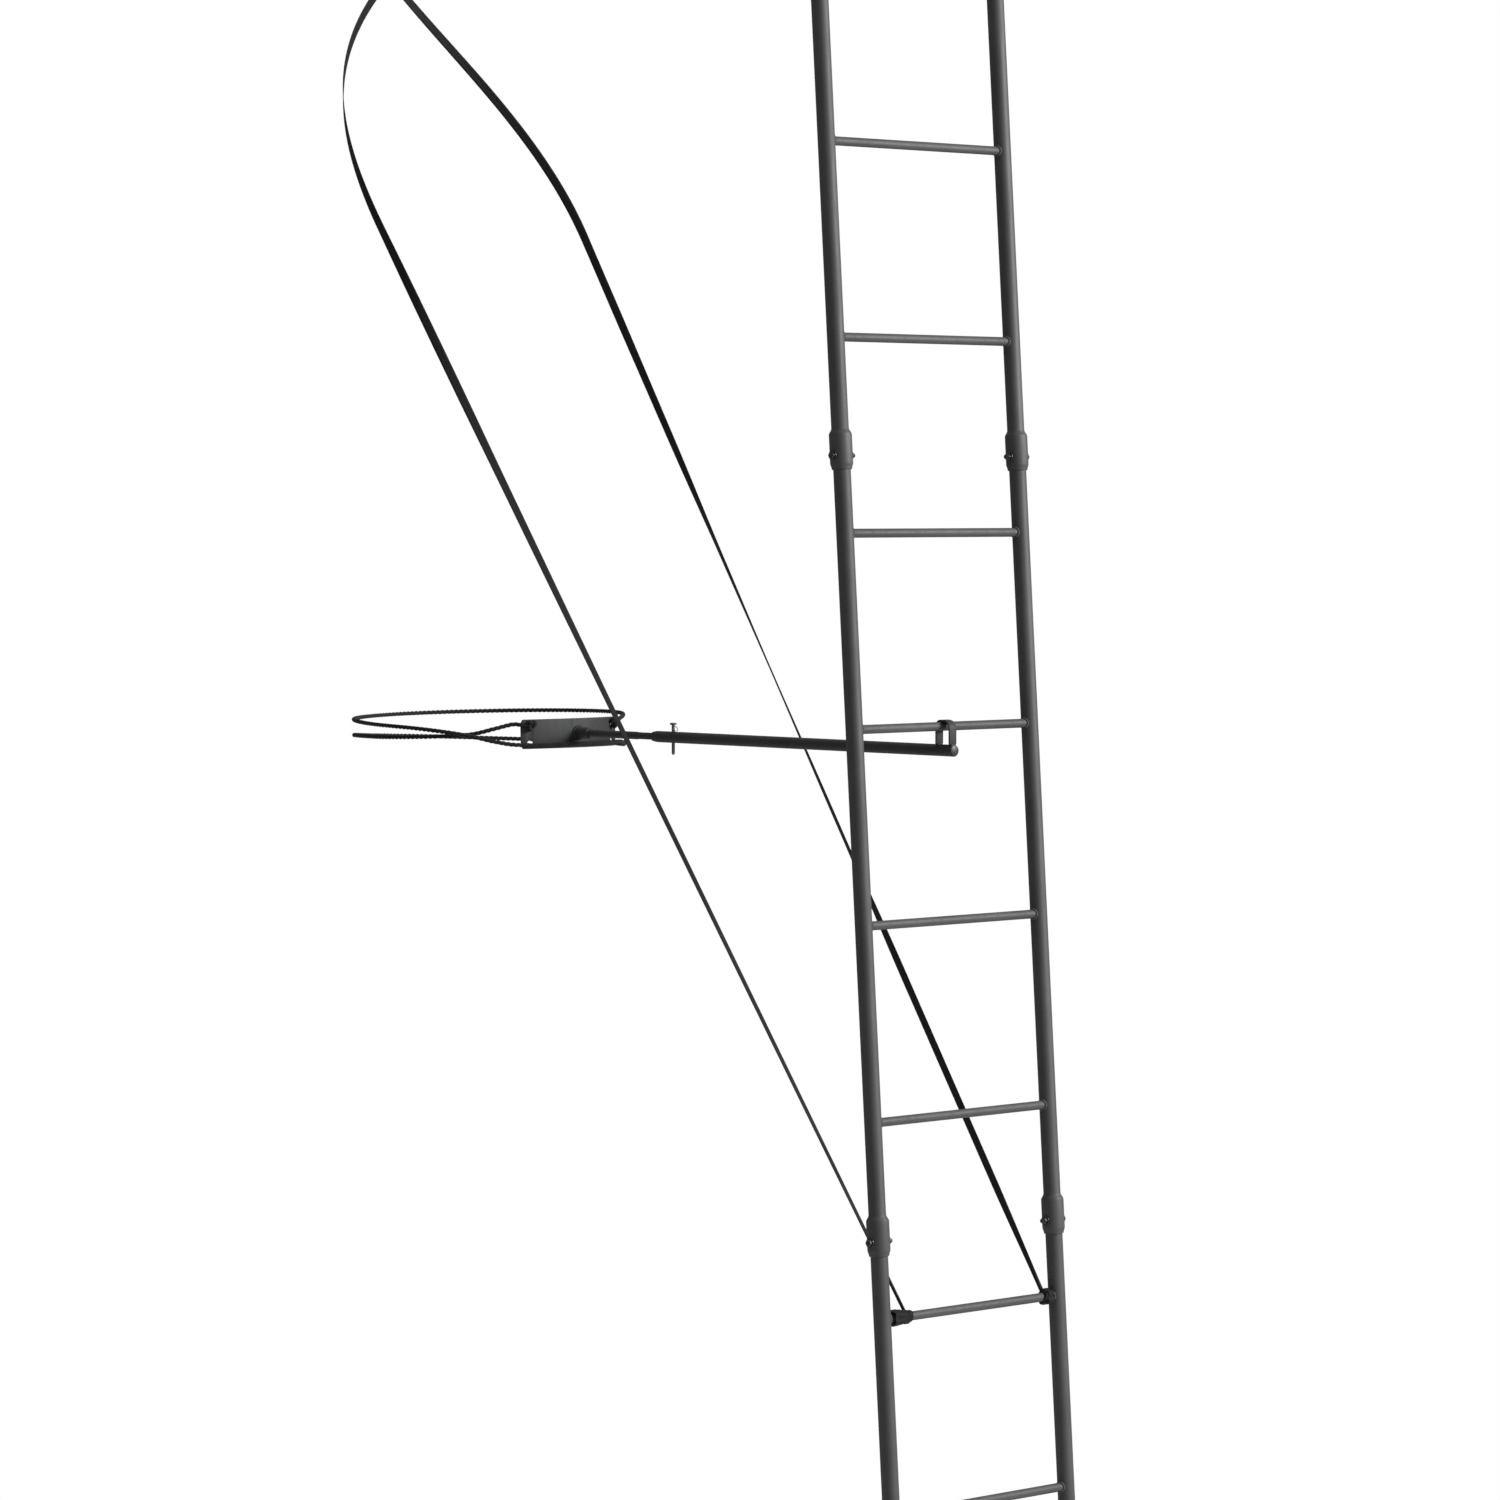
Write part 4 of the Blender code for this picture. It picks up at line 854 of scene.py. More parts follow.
def arc_plate(inner, thickness, half_angle, height, corner, steps=44):
    """A plate bent round the trunk's front, centred on z = 0, its four corners rounded."""
    bm = bmesh.new()
    corners = [
        bm.verts.new(round_trunk(-half_angle, radius, z))
        for radius, z in (
            (inner, -height / 2),
            (inner + thickness, -height / 2),
            (inner + thickness, height / 2),
            (inner, height / 2),
        )
    ]
    face = bm.faces.new(corners)
    bmesh.ops.spin(
        bm,
        geom=[face],
        axis=(0, 0, 1),
        cent=(0, 0, 0),
        steps=steps,
        angle=-2 * half_angle,
        use_duplicate=False,
    )
    bmesh.ops.holes_fill(bm, edges=[e for e in bm.edges if e.is_boundary], sides=4)
    tidied(bm)
    if corner:
        tips = [
            e
            for e in bm.edges
            if e.calc_face_angle(0) > radians(60)
            and abs((e.verts[0].co.xy.length - e.verts[1].co.xy.length)) > thickness / 2
            and abs(e.verts[0].co.z - e.verts[1].co.z) < thickness / 9
        ]
        bevel(bm, tips, corner, 5)
    return bm


def carved(bm, cutters):
    """The shape with the cutters taken out of it."""
    helpers = [new_object("helper", mesh_of(shape, "helper")) for shape in (bm, *cutters)]
    body = helpers[0]
    for helper in helpers[1:]:
        cut = body.modifiers.new("cut", "BOOLEAN")
        cut.operation = "DIFFERENCE"
        cut.object = helper
    bpy.context.view_layer.update()
    graph = bpy.context.evaluated_depsgraph_get()
    mesh = bpy.data.meshes.new_from_object(body.evaluated_get(graph))
    out = bmesh.new()
    out.from_mesh(mesh)
    bpy.data.meshes.remove(mesh)
    for helper in helpers:
        data = helper.data
        bpy.data.objects.remove(helper)
        bpy.data.meshes.remove(data)
    return tidied(out)


def rod(radius, low, high, sides=32, chamfer=0.0008):
    return spun(
        [
            (0, low),
            (radius - chamfer, low),
            (radius, low + chamfer),
            (radius, high - chamfer),
            (radius - chamfer, high),
            (0, high),
        ],
        sides,
    )


def copied(node):
    """A frame node's shape, its loose triangles merged."""
    bm = bmesh.new()
    bm.from_mesh(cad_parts[node].data)
    bmesh.ops.remove_doubles(bm, verts=bm.verts, dist=1e-5)
    bmesh.ops.dissolve_limit(
        bm, angle_limit=radians(1), verts=bm.verts, edges=bm.edges, use_dissolve_boundaries=False
    )
    return bm


def piece(name, bm, material, body="root", stands_for=(), smooth=35):
    """Makes the shape a finished piece that rides on a body and stands for frame nodes."""
    mesh = mesh_of(bm, name)
    mesh.shade_smooth()
    mesh.set_sharp_from_angle(angle=radians(smooth))
    mesh.materials.append(material)
    obj = new_object(name, mesh)
    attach(obj, body)
    if stands_for:
        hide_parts(*stands_for)
    return obj


def frame_piece(name, bm, node):
    """A painted steel piece of the fixed frame, in place of one node."""
    return piece(name, bm, PAINT, "root", [node])


def weld_bead(points, radius, closed=True, up=None, ripple=0.16, pitch=0.0026):
    """A ripple of weld metal along points."""
    outlines, distance = [], 0.0
    for k, point in enumerate(points):
        if k:
            distance += (point - points[k - 1]).length
        size = radius * (1 + ripple * sin(2 * pi * distance / pitch))
        if not closed:
            size *= min(1.0, 0.35 + 0.3 * min(k, len(points) - 1 - k))
        outlines.append(tuple(circle(size, 7)))
    return swept(points, outlines, closed, up)


def ring_points(radius, height, count):
    turns = (2 * pi * k / count for k in range(count))
    return [Vector((radius * cos(a), radius * sin(a), height)) for a in turns]


def straight(first, last, step=0.0013):
    first, last = Vector(first), Vector(last)
    count = ceil((last - first).length / step)
    return [first.lerp(last, k / count) for k in range(count + 1)]


def add_seam(whole, first, last, radius, up=None):
    """A straight weld from one point to another."""
    add_to(whole, weld_bead(straight(first, last), radius, False, up))


def add_ring_weld(whole, matrix, ring, radius, up):
    """A weld along a ring of points, placed by the matrix."""
    add_to(whole, weld_bead([matrix @ p for p in ring], radius, True, up))


# ---------------------------------------------------------------- ladder


def swage(low, high, small, large, steps=6):
    """(radius, height) points of a smooth step from one radius to another."""
    return [
        (small + (large - small) * (1 - cos(pi * k / steps)) / 2, low + (high - low) * k / steps)
        for k in range(steps + 1)
    ]


def rail_shape(low, top, joint):
    """One rail of one section, with its swaged socket above a joint."""
    lip = 0.0007
    if joint is None:
        profile = [
            (RAIL_BORE, low),
            (RAIL_R - lip, low),
            (RAIL_R, low + lip),
            (RAIL_R, top - lip),
            (RAIL_R - lip, top),
            (RAIL_BORE, top),
        ]
        return spun(profile, 48)
    mouth, shoulder = joint - SOCKET_LENGTH / 2, joint + SOCKET_LENGTH / 2
    floor = joint + SPIGOT_DEPTH + GAP
    mouth_r = SOCKET_BORE + 0.002
    profile = [
        (SOCKET_BORE, mouth),
        (mouth_r - lip, mouth),
        *swage(mouth + lip, mouth + SOCKET_TAPER, mouth_r, SOCKET_R),
        *swage(shoulder - SOCKET_TAPER, shoulder, SOCKET_R, RAIL_R),
        (RAIL_R, top - lip),
        (RAIL_R - lip, top),
        (RAIL_BORE, top),
        (RAIL_BORE, floor),
        (SOCKET_BORE, floor),
    ]
    return spun(profile, 48)


def bolt_set(grip, washer_r=0.0096):
    """A hexagon bolt along Z with washers, lock nut and thread: head's face at 0, nut's at
    grip."""
    washer = 0.0013
    bm = hexagon(BOLT_HEAD_R, -BOLT_HEAD, -washer)
    add_to(bm, rod(washer_r, -washer, 0, 32, 0.0003))
    add_to(bm, rod(BOLT_R, -washer, grip + washer, 20, 0.0002))
    add_to(bm, rod(washer_r, grip, grip + washer, 32, 0.0003))
    add_to(bm, hexagon(BOLT_HEAD_R, grip + washer, grip + NUT - 0.0014))
    add_to(bm, rod(BOLT_HEAD_R * 0.80, grip + NUT - 0.0016, grip + NUT, 24, 0.0006))
    pitch = 0.0008
    start, end = grip + NUT, grip + NUT + BOLT_TAIL
    turns = int((end - start) / pitch)
    thread = [(0, start - pitch)]
    for turn in range(turns):
        thread.append((BOLT_R * 0.86, start + turn * pitch))
        thread.append((BOLT_R, start + (turn + 0.5) * pitch))
    thread += [(BOLT_R * 0.80, end), (0, end)]
    add_to(bm, spun(thread, 20))
    return bm


def rung_shape():
    """A rung along Z, its ends coped to the rails, with a weld bead round each end."""
    reach = RAIL_R + GAP
    bm = spun([(RUNG_R, -1), (RUNG_R, 1), (RUNG_R - 0.0014, 1), (RUNG_R - 0.0014, -1)], 32)
    for vert in bm.verts:
        end = RAIL_X - sqrt(reach**2 - vert.co.y**2)
        vert.co.z = end if vert.co.z > 0 else -end
    count = 96
    radius = RUNG_R + 0.0007
    for sign in (-1, 1):
        points = []
        for k in range(count):
            a = 2 * pi * k / count
            y = radius * sin(a)
            end = RAIL_X - sqrt(RAIL_R**2 - y**2) - 0.0006
            points.append(Vector((radius * cos(a), y, sign * end)))
        add_to(bm, weld_bead(points, 0.0021, True, away_from_axis))
    return bm


def build_ladder():
    stay_along = (SIDE_MIDDLE_Z - STAY_DROP) / cos(LEAN)
    last = len(SECTIONS) - 1
    foot_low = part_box("left_rail_lower")[0].z
    joints = [SECTION_LENGTH * number for number in range(1, len(SECTIONS))]
    for side, sign in SIDES:
        x = sign * RAIL_X
        for n, section in enumerate(SECTIONS):
            joint = joints[n - 1] if n else None
            top = LADDER_LENGTH if n == last else joints[n] + SPIGOT_DEPTH
            bm = rail_shape(foot_low, top, joint)
            moved(bm, LADDER @ at(x, 0, 0))
            frame_piece(f"{side}_{section}_rail", bm, f"{side}_rail_{section}")
        for n, joint in enumerate(joints):
            start = sign * (RAIL_X + SOCKET_R + GAP)
            where = LADDER @ at(start, 0, joint - JOINT_BOLT_DROP)
            bm = bolt_set(2 * (SOCKET_R + GAP))
            moved(bm, where @ inwards(sign))
            piece(
                f"{side}_{SECTIONS[n]}_joint_fastener", bm, ZINC, "root",
                [f"{side}_joint_bolt_{SECTIONS[n]}"],
            )
        build_foot(side, x)
        build_stay(side, sign, stay_along)

    mesh = mesh_of(rung_shape(), "rung_pattern")
    for number in range(1, len(SECTIONS) * RUNGS_PER_SECTION + 1):
        bm = bmesh.new()
        bm.from_mesh(mesh)
        where = LADDER @ at(0, 0, rung_along(number)) @ ALONG_X
        moved(bm, where)
        node = f"rung_{number:02d}"
        frame_piece(f"{node}_welded", bm, node)
    bpy.data.meshes.remove(mesh)


def build_foot(side, x):
    """A sole plate with rounded corners and two peg holes, and a welded collar."""
    thickness = FOOT_PLATE[2]
    peg_hole_r, peg_hole_y = 0.006, 0.044
    where = on_ladder(x, 0)
    bm = bmesh.new()
    bmesh.ops.create_cube(
        bm, size=1, matrix=at(0, 0, thickness / 2) @ Matrix.Diagonal((*FOOT_PLATE, 1))
    )
    bevel(bm, upright_edges(bm, thickness / 2), 0.014, 6)
    holes = []
    for y in (-1, 1):
        hole = rod(peg_hole_r, -0.01, 0.02, 24)
        bmesh.ops.translate(hole, verts=hole.verts, vec=(0, y * peg_hole_y, 0))
        holes.append(hole)
    bm = soften(carved(bm, holes), 0.0007)
    lean = Matrix.Rotation(-LEAN, 4, "X")
    collar = spun(
        [
            (SOCKET_BORE, thickness * 0.7),
            (FOOT_COLLAR_R, thickness * 0.7),
            (FOOT_COLLAR_R, FOOT_COLLAR_LENGTH - 0.0010),
            (FOOT_COLLAR_R - 0.0010, FOOT_COLLAR_LENGTH),
            (SOCKET_BORE + 0.0004, FOOT_COLLAR_LENGTH),
            (SOCKET_BORE, FOOT_COLLAR_LENGTH - 0.0004),
        ],
        48,
    )
    add_to(bm, collar, lean)
    bead = weld_bead(
        ring_points(FOOT_COLLAR_R + 0.0008, thickness + 0.0008, 120), 0.0024, True,
        away_from_axis,
    )
    add_to(bm, bead)
    bmesh.ops.translate(bm, verts=bm.verts, vec=where)
    frame_piece(f"{side}_sole", bm, f"{side}_foot")


def build_stay(side, sign, along):
    """A tube with both ends pressed flat against its inner side, and its bolt."""
    foot = on_ladder(RAIL_X, along)
    rise = SIDE_MIDDLE_Z - foot.z
    length = hypot(STAY_REACH, rise)
    inward = -sign
    x = sign * (RAIL_X + RAIL_R + GAP + STAY_R)
    low, high = -STAY_LUG_END, length
    ends = (STAY_LUG_LENGTH, high - STAY_LUG_LENGTH)
    heights = [low, low + 0.004, ends[0]]
    heights += [ends[0] + STAY_LUG_TAPER * k / 8 for k in range(1, 9)]
    heights += [ends[1] - STAY_LUG_TAPER * k / 8 for k in range(8, 0, -1)]
    heights += [ends[1], high - 0.004, high]
    profile = [(0, low), (STAY_R * 0.93, low), *((STAY_R, z) for z in heights[1:-1])]
    profile += [(STAY_R * 0.93, high), (0, high)]
    bm = spun(profile, 32)
    for vert in bm.verts:
        z = vert.co.z
        into = max(ends[0] + STAY_LUG_TAPER - z, z - (ends[1] - STAY_LUG_TAPER)) / STAY_LUG_TAPER
        into = eased(min(1.0, max(0.0, into)))
        share = (vert.co.x * inward + STAY_R) / (2 * STAY_R)
        flat = inward * (STAY_R - STAY_LUG * (1 - share))
        vert.co.x += (flat - vert.co.x) * into
        vert.co.y *= 1 + 0.25 * into
    turn = at(x, foot.y, foot.z) @ Matrix.Rotation(-atan2(STAY_REACH, rise), 4, "X")
    moved(bm, turn)
    frame_piece(f"{side}_platform_stay", bm, f"{side}_stay")
    head = sign * (RAIL_X + RAIL_R + STAY_LUG + 2 * GAP)
    bm = bolt_set(STAY_LUG + 2 * RAIL_R + 3 * GAP)
    where = LADDER @ at(head, 0, along) @ inwards(sign)
    moved(bm, where)
    piece(f"{side}_stay_fastener", bm, ZINC, "root", [f"{side}_stay_bolt"])


# ---------------------------------------------------------------- platform, seat frame, rests


def build_platform():
    length = PLATFORM_REAR - PLATFORM_FRONT
    caps = bmesh.new()
    welds = bmesh.new()
    for side, sign in SIDES:
        x = sign * RAIL_X
        bm = rounded_bar(SIDE_TUBE, length)
        moved(bm, at(x, PLATFORM_FRONT, SIDE_MIDDLE_Z) @ ALONG_Y)
        frame_piece(f"{side}_platform_tube", bm, f"{side}_side_tube")
        add_to(caps, end_cap(SIDE_TUBE), at(x, PLATFORM_REAR, SIDE_MIDDLE_Z) @ ALONG_Y)
        add_to(caps, end_cap(SIDE_TUBE), at(x, PLATFORM_FRONT, SIDE_MIDDLE_Z) @ BACK_Y)
        collar = [
            on_ladder(x, 0).xy.to_3d() + Vector((0, LADDER_LENGTH * sin(LEAN), SIDE_UNDERSIDE))
            + p
            for p in ring_points(RAIL_R + 0.0006, -0.0006, 96)
        ]
        add_to(welds, weld_bead(collar, 0.0022))
    for where, y in (("front", FRONT_CROSS_Y), ("middle", MIDDLE_CROSS_Y), ("rear", REAR_CROSS_Y)):
        bm = rounded_bar(CROSS_TUBE, PLATFORM_WIDTH, 0.003)
        start = at(-PLATFORM_WIDTH / 2, y, CROSS_Z) @ ALONG_X
        moved(bm, start)
        frame_piece(f"{where}_bearer", bm, f"{where}_cross_tube")
        add_to(caps, end_cap(CROSS_TUBE), at(PLATFORM_WIDTH / 2, y, CROSS_Z) @ ALONG_X)
        add_to(caps, end_cap(CROSS_TUBE), at(-PLATFORM_WIDTH / 2, y, CROSS_Z) @ BACK_X)
        for x in (-RAIL_X, RAIL_X):
            for edge in (-1, 1):
                line_y = y + edge * (CROSS_TUBE / 2 + 0.0004)
                half = SIDE_TUBE / 2 - 0.004
                seam_z = SIDE_TOP + 0.0012
                add_seam(welds, (x - half, line_y, seam_z), (x + half, line_y, seam_z), 0.0023)
    for x in (-RAIL_X, RAIL_X):
        half = UPRIGHT_TUBE / 2 - 0.003
        edge = UPRIGHT_TUBE / 2 + 0.0004
        seam_z = SIDE_TOP + 0.001
        arm_y = UPRIGHT_Y - UPRIGHT_TUBE / 2 - 0.0004
        arm_half = SEAT_ARM_TUBE / 2
        reach = arm_half * 0.8
        for way in (-1, 1):
            line_y = UPRIGHT_Y + way * edge
            add_seam(welds, (x - half, line_y, seam_z), (x + half, line_y, seam_z), 0.0023)
            side = x + way * edge * 0.98
            first = (side, UPRIGHT_Y - half, seam_z)
            add_seam(welds, first, (side, UPRIGHT_Y + half, seam_z), 0.0021)
            above = ARM_Z + way * (arm_half + 0.0004)
            add_seam(welds, (x - reach, arm_y, above), (x + reach, arm_y, above), 0.0020)
            side = x + way * (arm_half + 0.0003)
            first, last = (side, arm_y, ARM_Z - reach), (side, arm_y, ARM_Z + reach)
            add_seam(welds, first, last, 0.0020, lambda p, k: Vector((0, -1, 0)))
    build_deck()
    build_uprights(caps, welds)
    build_rests(welds)
    piece("frame_weld_beads", welds, PAINT, "root", ())
    piece("tube_end_caps", caps, PLASTIC)


def build_deck():
    """Expanded metal in a flat-bar rim, with two flat bars across the middle."""
    rear, front = REAR_CROSS_Y + CROSS_TUBE / 2, FRONT_CROSS_Y - CROSS_TUBE / 2
    half_x, half_y = PLATFORM_WIDTH / 2, (rear - front) / 2
    middle_y = (rear + front) / 2
    diamond = Vector((0.046, 0.022))
    strand = 0.0026
    rim = 0.020
    bm = bmesh.new()
    cells = 2 * int(2 * half_y / diamond.y)
    bmesh.ops.create_grid(bm, x_segments=cells, y_segments=cells, size=cells / 2)
    turn = Matrix.Diagonal((diamond.x / sqrt(2), diamond.y / sqrt(2), 1, 1)) @ Matrix.Rotation(
        pi / 4, 4, "Z"
    )
    moved(bm, turn)
    inner_x, inner_y = half_x - rim / 2, half_y - rim / 2
    for x, y in ((1, 0), (-1, 0), (0, 1), (0, -1)):
        bmesh.ops.bisect_plane(
            bm,
            geom=bm.verts[:] + bm.edges[:] + bm.faces[:],
            plane_co=Vector((x * inner_x, y * inner_y, 0)),
            plane_no=(x, y, 0),
            clear_outer=True,
        )
    bmesh.ops.remove_doubles(bm, verts=bm.verts, dist=2e-4)
    bmesh.ops.wireframe(
        bm,
        faces=bm.faces[:],
        thickness=strand,
        offset=0.0,
        use_replace=True,
        use_boundary=True,
        use_even_offset=True,
        use_relative_offset=False,
    )
    for vert in bm.verts:
        # The strands are rolled flat, a little thinner than the rim.
        vert.co.z = 0.0011 * (1 if vert.co.z > 0 else -1)
    bars = bmesh.new()
    thick = DECK_THICKNESS - 0.0002
    for x in (-1, 1):
        where = at(x * (half_x - rim / 2), 0, 0)
        add_to(bars, rounded_box((rim, 2 * half_y - 2 * rim, thick), where, 0.0006))
    for y in (-1, 1):
        where = at(0, y * (half_y - rim / 2), 0)
        add_to(bars, rounded_box((2 * half_x, rim, thick), where, 0.0006))
    for y in (-0.215, 0.0, 0.215):
        add_to(
            bars,
            rounded_box((2 * half_x - 2 * rim, rim, thick * 0.7), at(0, y, -0.0004), 0.0005),
        )
    add_to(bm, bars)
    bmesh.ops.translate(bm, verts=bm.verts, vec=(0, middle_y, DECK_Z + DECK_THICKNESS / 2))
    frame_piece("expanded_metal_deck", bm, "deck_grate")


def build_uprights(caps, welds):
    arm_front = UPRIGHT_Y - UPRIGHT_TUBE / 2 - GAP - SEAT_ARM_LENGTH
    x_out = RAIL_X + UPRIGHT_TUBE / 2 + ARM_RAIL_SIDE_GAP + 2 * ARM_RAIL_R + GAP
    for side, sign in SIDES:
        x = sign * RAIL_X
        bm = rounded_bar(UPRIGHT_TUBE, UPRIGHT_HEIGHT, 0.003)
        bmesh.ops.translate(bm, verts=bm.verts, vec=(x, UPRIGHT_Y, SIDE_TOP + GAP))
        frame_piece(f"{side}_seat_post", bm, f"{side}_upright")
        add_to(caps, end_cap(UPRIGHT_TUBE), at(x, UPRIGHT_Y, UPRIGHT_TOP))
        bm = rounded_bar(SEAT_ARM_TUBE, SEAT_ARM_LENGTH, 0.0028)
        moved(bm, at(x, arm_front, ARM_Z) @ ALONG_Y)
        frame_piece(f"{side}_seat_bearer", bm, f"{side}_seat_arm")
        add_to(caps, end_cap(SEAT_ARM_TUBE), at(x, arm_front, ARM_Z) @ BACK_Y)
        bm = bolt_set(x_out - (RAIL_X - UPRIGHT_TUBE / 2 - GAP), 0.0090)
        where = at(sign * x_out, UPRIGHT_Y, PIVOT_Z) @ inwards(sign)
        moved(bm, where)
        piece(
            f"{side}_rail_pivot_fastener", bm, ZINC, "root", [f"{side}_rail_pivot_bolt"],
        )
    half_rod = RAIL_X - SEAT_ARM_TUBE / 2 - GAP
    low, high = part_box("seat_hinge_rod")
    axis = (low + high) / 2
    bm = rod(HINGE_ROD_R, -half_rod, half_rod, 28, 0.0006)
    moved(bm, Matrix.Translation(axis) @ ALONG_X)
    piece("seat_hinge_bar", bm, ZINC, "root", ["seat_hinge_rod"])
    for sign in (-1, 1):
        where = at(sign * (half_rod - 0.0006), axis.y, axis.z) @ ALONG_X
        ring = ring_points(HINGE_ROD_R + 0.0006, 0, 60)
        add_ring_weld(welds, where, ring, 0.0015, facing_x)


def build_rests(welds):
    bm = arc_plate(
        TRUNK_R, REST_THICKNESS, LOWER_REST_HALF_ANGLE, LOWER_REST_HEIGHT, 0, 60
    )
    soften(bm, 0.0012, 3)
    bmesh.ops.translate(bm, verts=bm.verts, vec=(0, 0, SIDE_MIDDLE_Z))
    frame_piece("lower_trunk_rest", bm, "platform_trunk_rest")
    for sign in (-1, 1):
        end = round_trunk(sign * (LOWER_REST_HALF_ANGLE - 0.004), TRUNK_R + 0.003, 0)
        for edge in (-1, 1):
            line_y = end.y + edge * 0.005
            first = (end.x, line_y, SIDE_MIDDLE_Z - 0.012)
            add_seam(welds, first, (end.x, line_y, SIDE_MIDDLE_Z + 0.012), 0.0022, facing_x)

    length = 2 * RAIL_X - UPRIGHT_TUBE - 2 * GAP
    bm = rounded_bar(UPRIGHT_TUBE, length, 0.003)
    start = at(-length / 2, UPRIGHT_Y, UPPER_REST_Z) @ ALONG_X
    moved(bm, start)
    arc = arc_plate(
        TRUNK_R, REST_THICKNESS, UPPER_REST_HALF_ANGLE, UPPER_REST_HEIGHT, 0.012, 50
    )
    slots = []
    for sign in (-1, 1):
        slot_at = round_trunk(sign * (UPPER_REST_HALF_ANGLE - 0.055), TRUNK_R, 0)
        turn = Matrix.Rotation(-sign * (UPPER_REST_HALF_ANGLE - 0.055), 4, "Z")
        slots.append(
            rounded_box((0.0045, 0.05, 0.030), Matrix.Translation(slot_at) @ turn, 0.0015)
        )
    arc = soften(carved(arc, slots), 0.0011)
    add_to(bm, arc, at(0, 0, UPPER_REST_Z))
    post_start = UPRIGHT_Y + UPRIGHT_TUBE / 2 - 0.001
    post = rod(REST_POST_R, post_start, -TRUNK_R - 0.003, 36)
    add_to(bm, post, at(0, 0, UPPER_REST_Z) @ ALONG_Y)
    for y in (post_start + 0.0014, -TRUNK_R - REST_THICKNESS - 0.0008):
        ring = ring_points(REST_POST_R + 0.0008, 0, 80)
        add_ring_weld(bm, at(0, y, UPPER_REST_Z) @ ALONG_Y, ring, 0.0022, facing_y)
    for sign in (-1, 1):
        for edge in (-1, 1):
            x = sign * (length / 2 + 0.0002)
            y = UPRIGHT_Y + edge * (UPRIGHT_TUBE / 2 + 0.0003)
            first = (x, y, UPPER_REST_Z - 0.010)
            add_seam(bm, first, (x, y, UPPER_REST_Z + 0.010), 0.0019, facing_x)
    frame_piece("upper_trunk_rest_welded", bm, "upper_trunk_rest")


# ---------------------------------------------------------------- seat and shooting rail


def build_seat_pan():
    bm = copied("seat_pan")
    soften(bm, 0.0007, 2, 50)
    piece("seat_plate", bm, PAINT, "seat", ["seat_pan"], 40)


def simulated(mesh_object, pressure, cap):
    """Inflates the object with Blender's cloth, holds each point within cap, and applies it."""
    rest = [v.co.copy() for v in mesh_object.data.vertices]
    cloth = mesh_object.modifiers.new("cloth", "CLOTH")
    cloth.settings.use_pressure = True
    cloth.settings.uniform_pressure_force = pressure
    cloth.settings.effector_weights.gravity = 0
    cloth.settings.quality = 5
    cloth.collision_settings.use_collision = False
    scene = bpy.context.scene
    scene.frame_start, scene.frame_end = 1, 20
    for number in range(1, 21):
        scene.frame_set(number)
    graph = bpy.context.evaluated_depsgraph_get()
    blown = [v.co.copy() for v in mesh_object.evaluated_get(graph).data.vertices]
    mesh_object.modifiers.remove(cloth)
    scene.frame_set(1)
    for vert, before, after in zip(mesh_object.data.vertices, rest, blown):
        shift = after - before
        if shift.length > cap:
            shift *= cap / shift.length
        vert.co = before + shift


PAD_CORNER = 0.030
PAD_VOXEL = 0.005
PAD_PRESSURE = 4.0
PAD_MOST_SWELL = 0.009
PAD_CHANNELS = (0.27, 0.5, 0.73)
CHANNEL_REACH = 0.020
CHANNEL_DEPTH = 0.0075
PAD_PULL_IN = 0.0045
PIPING_R = 0.0023
PIPING_TO_STITCH = 0.0046


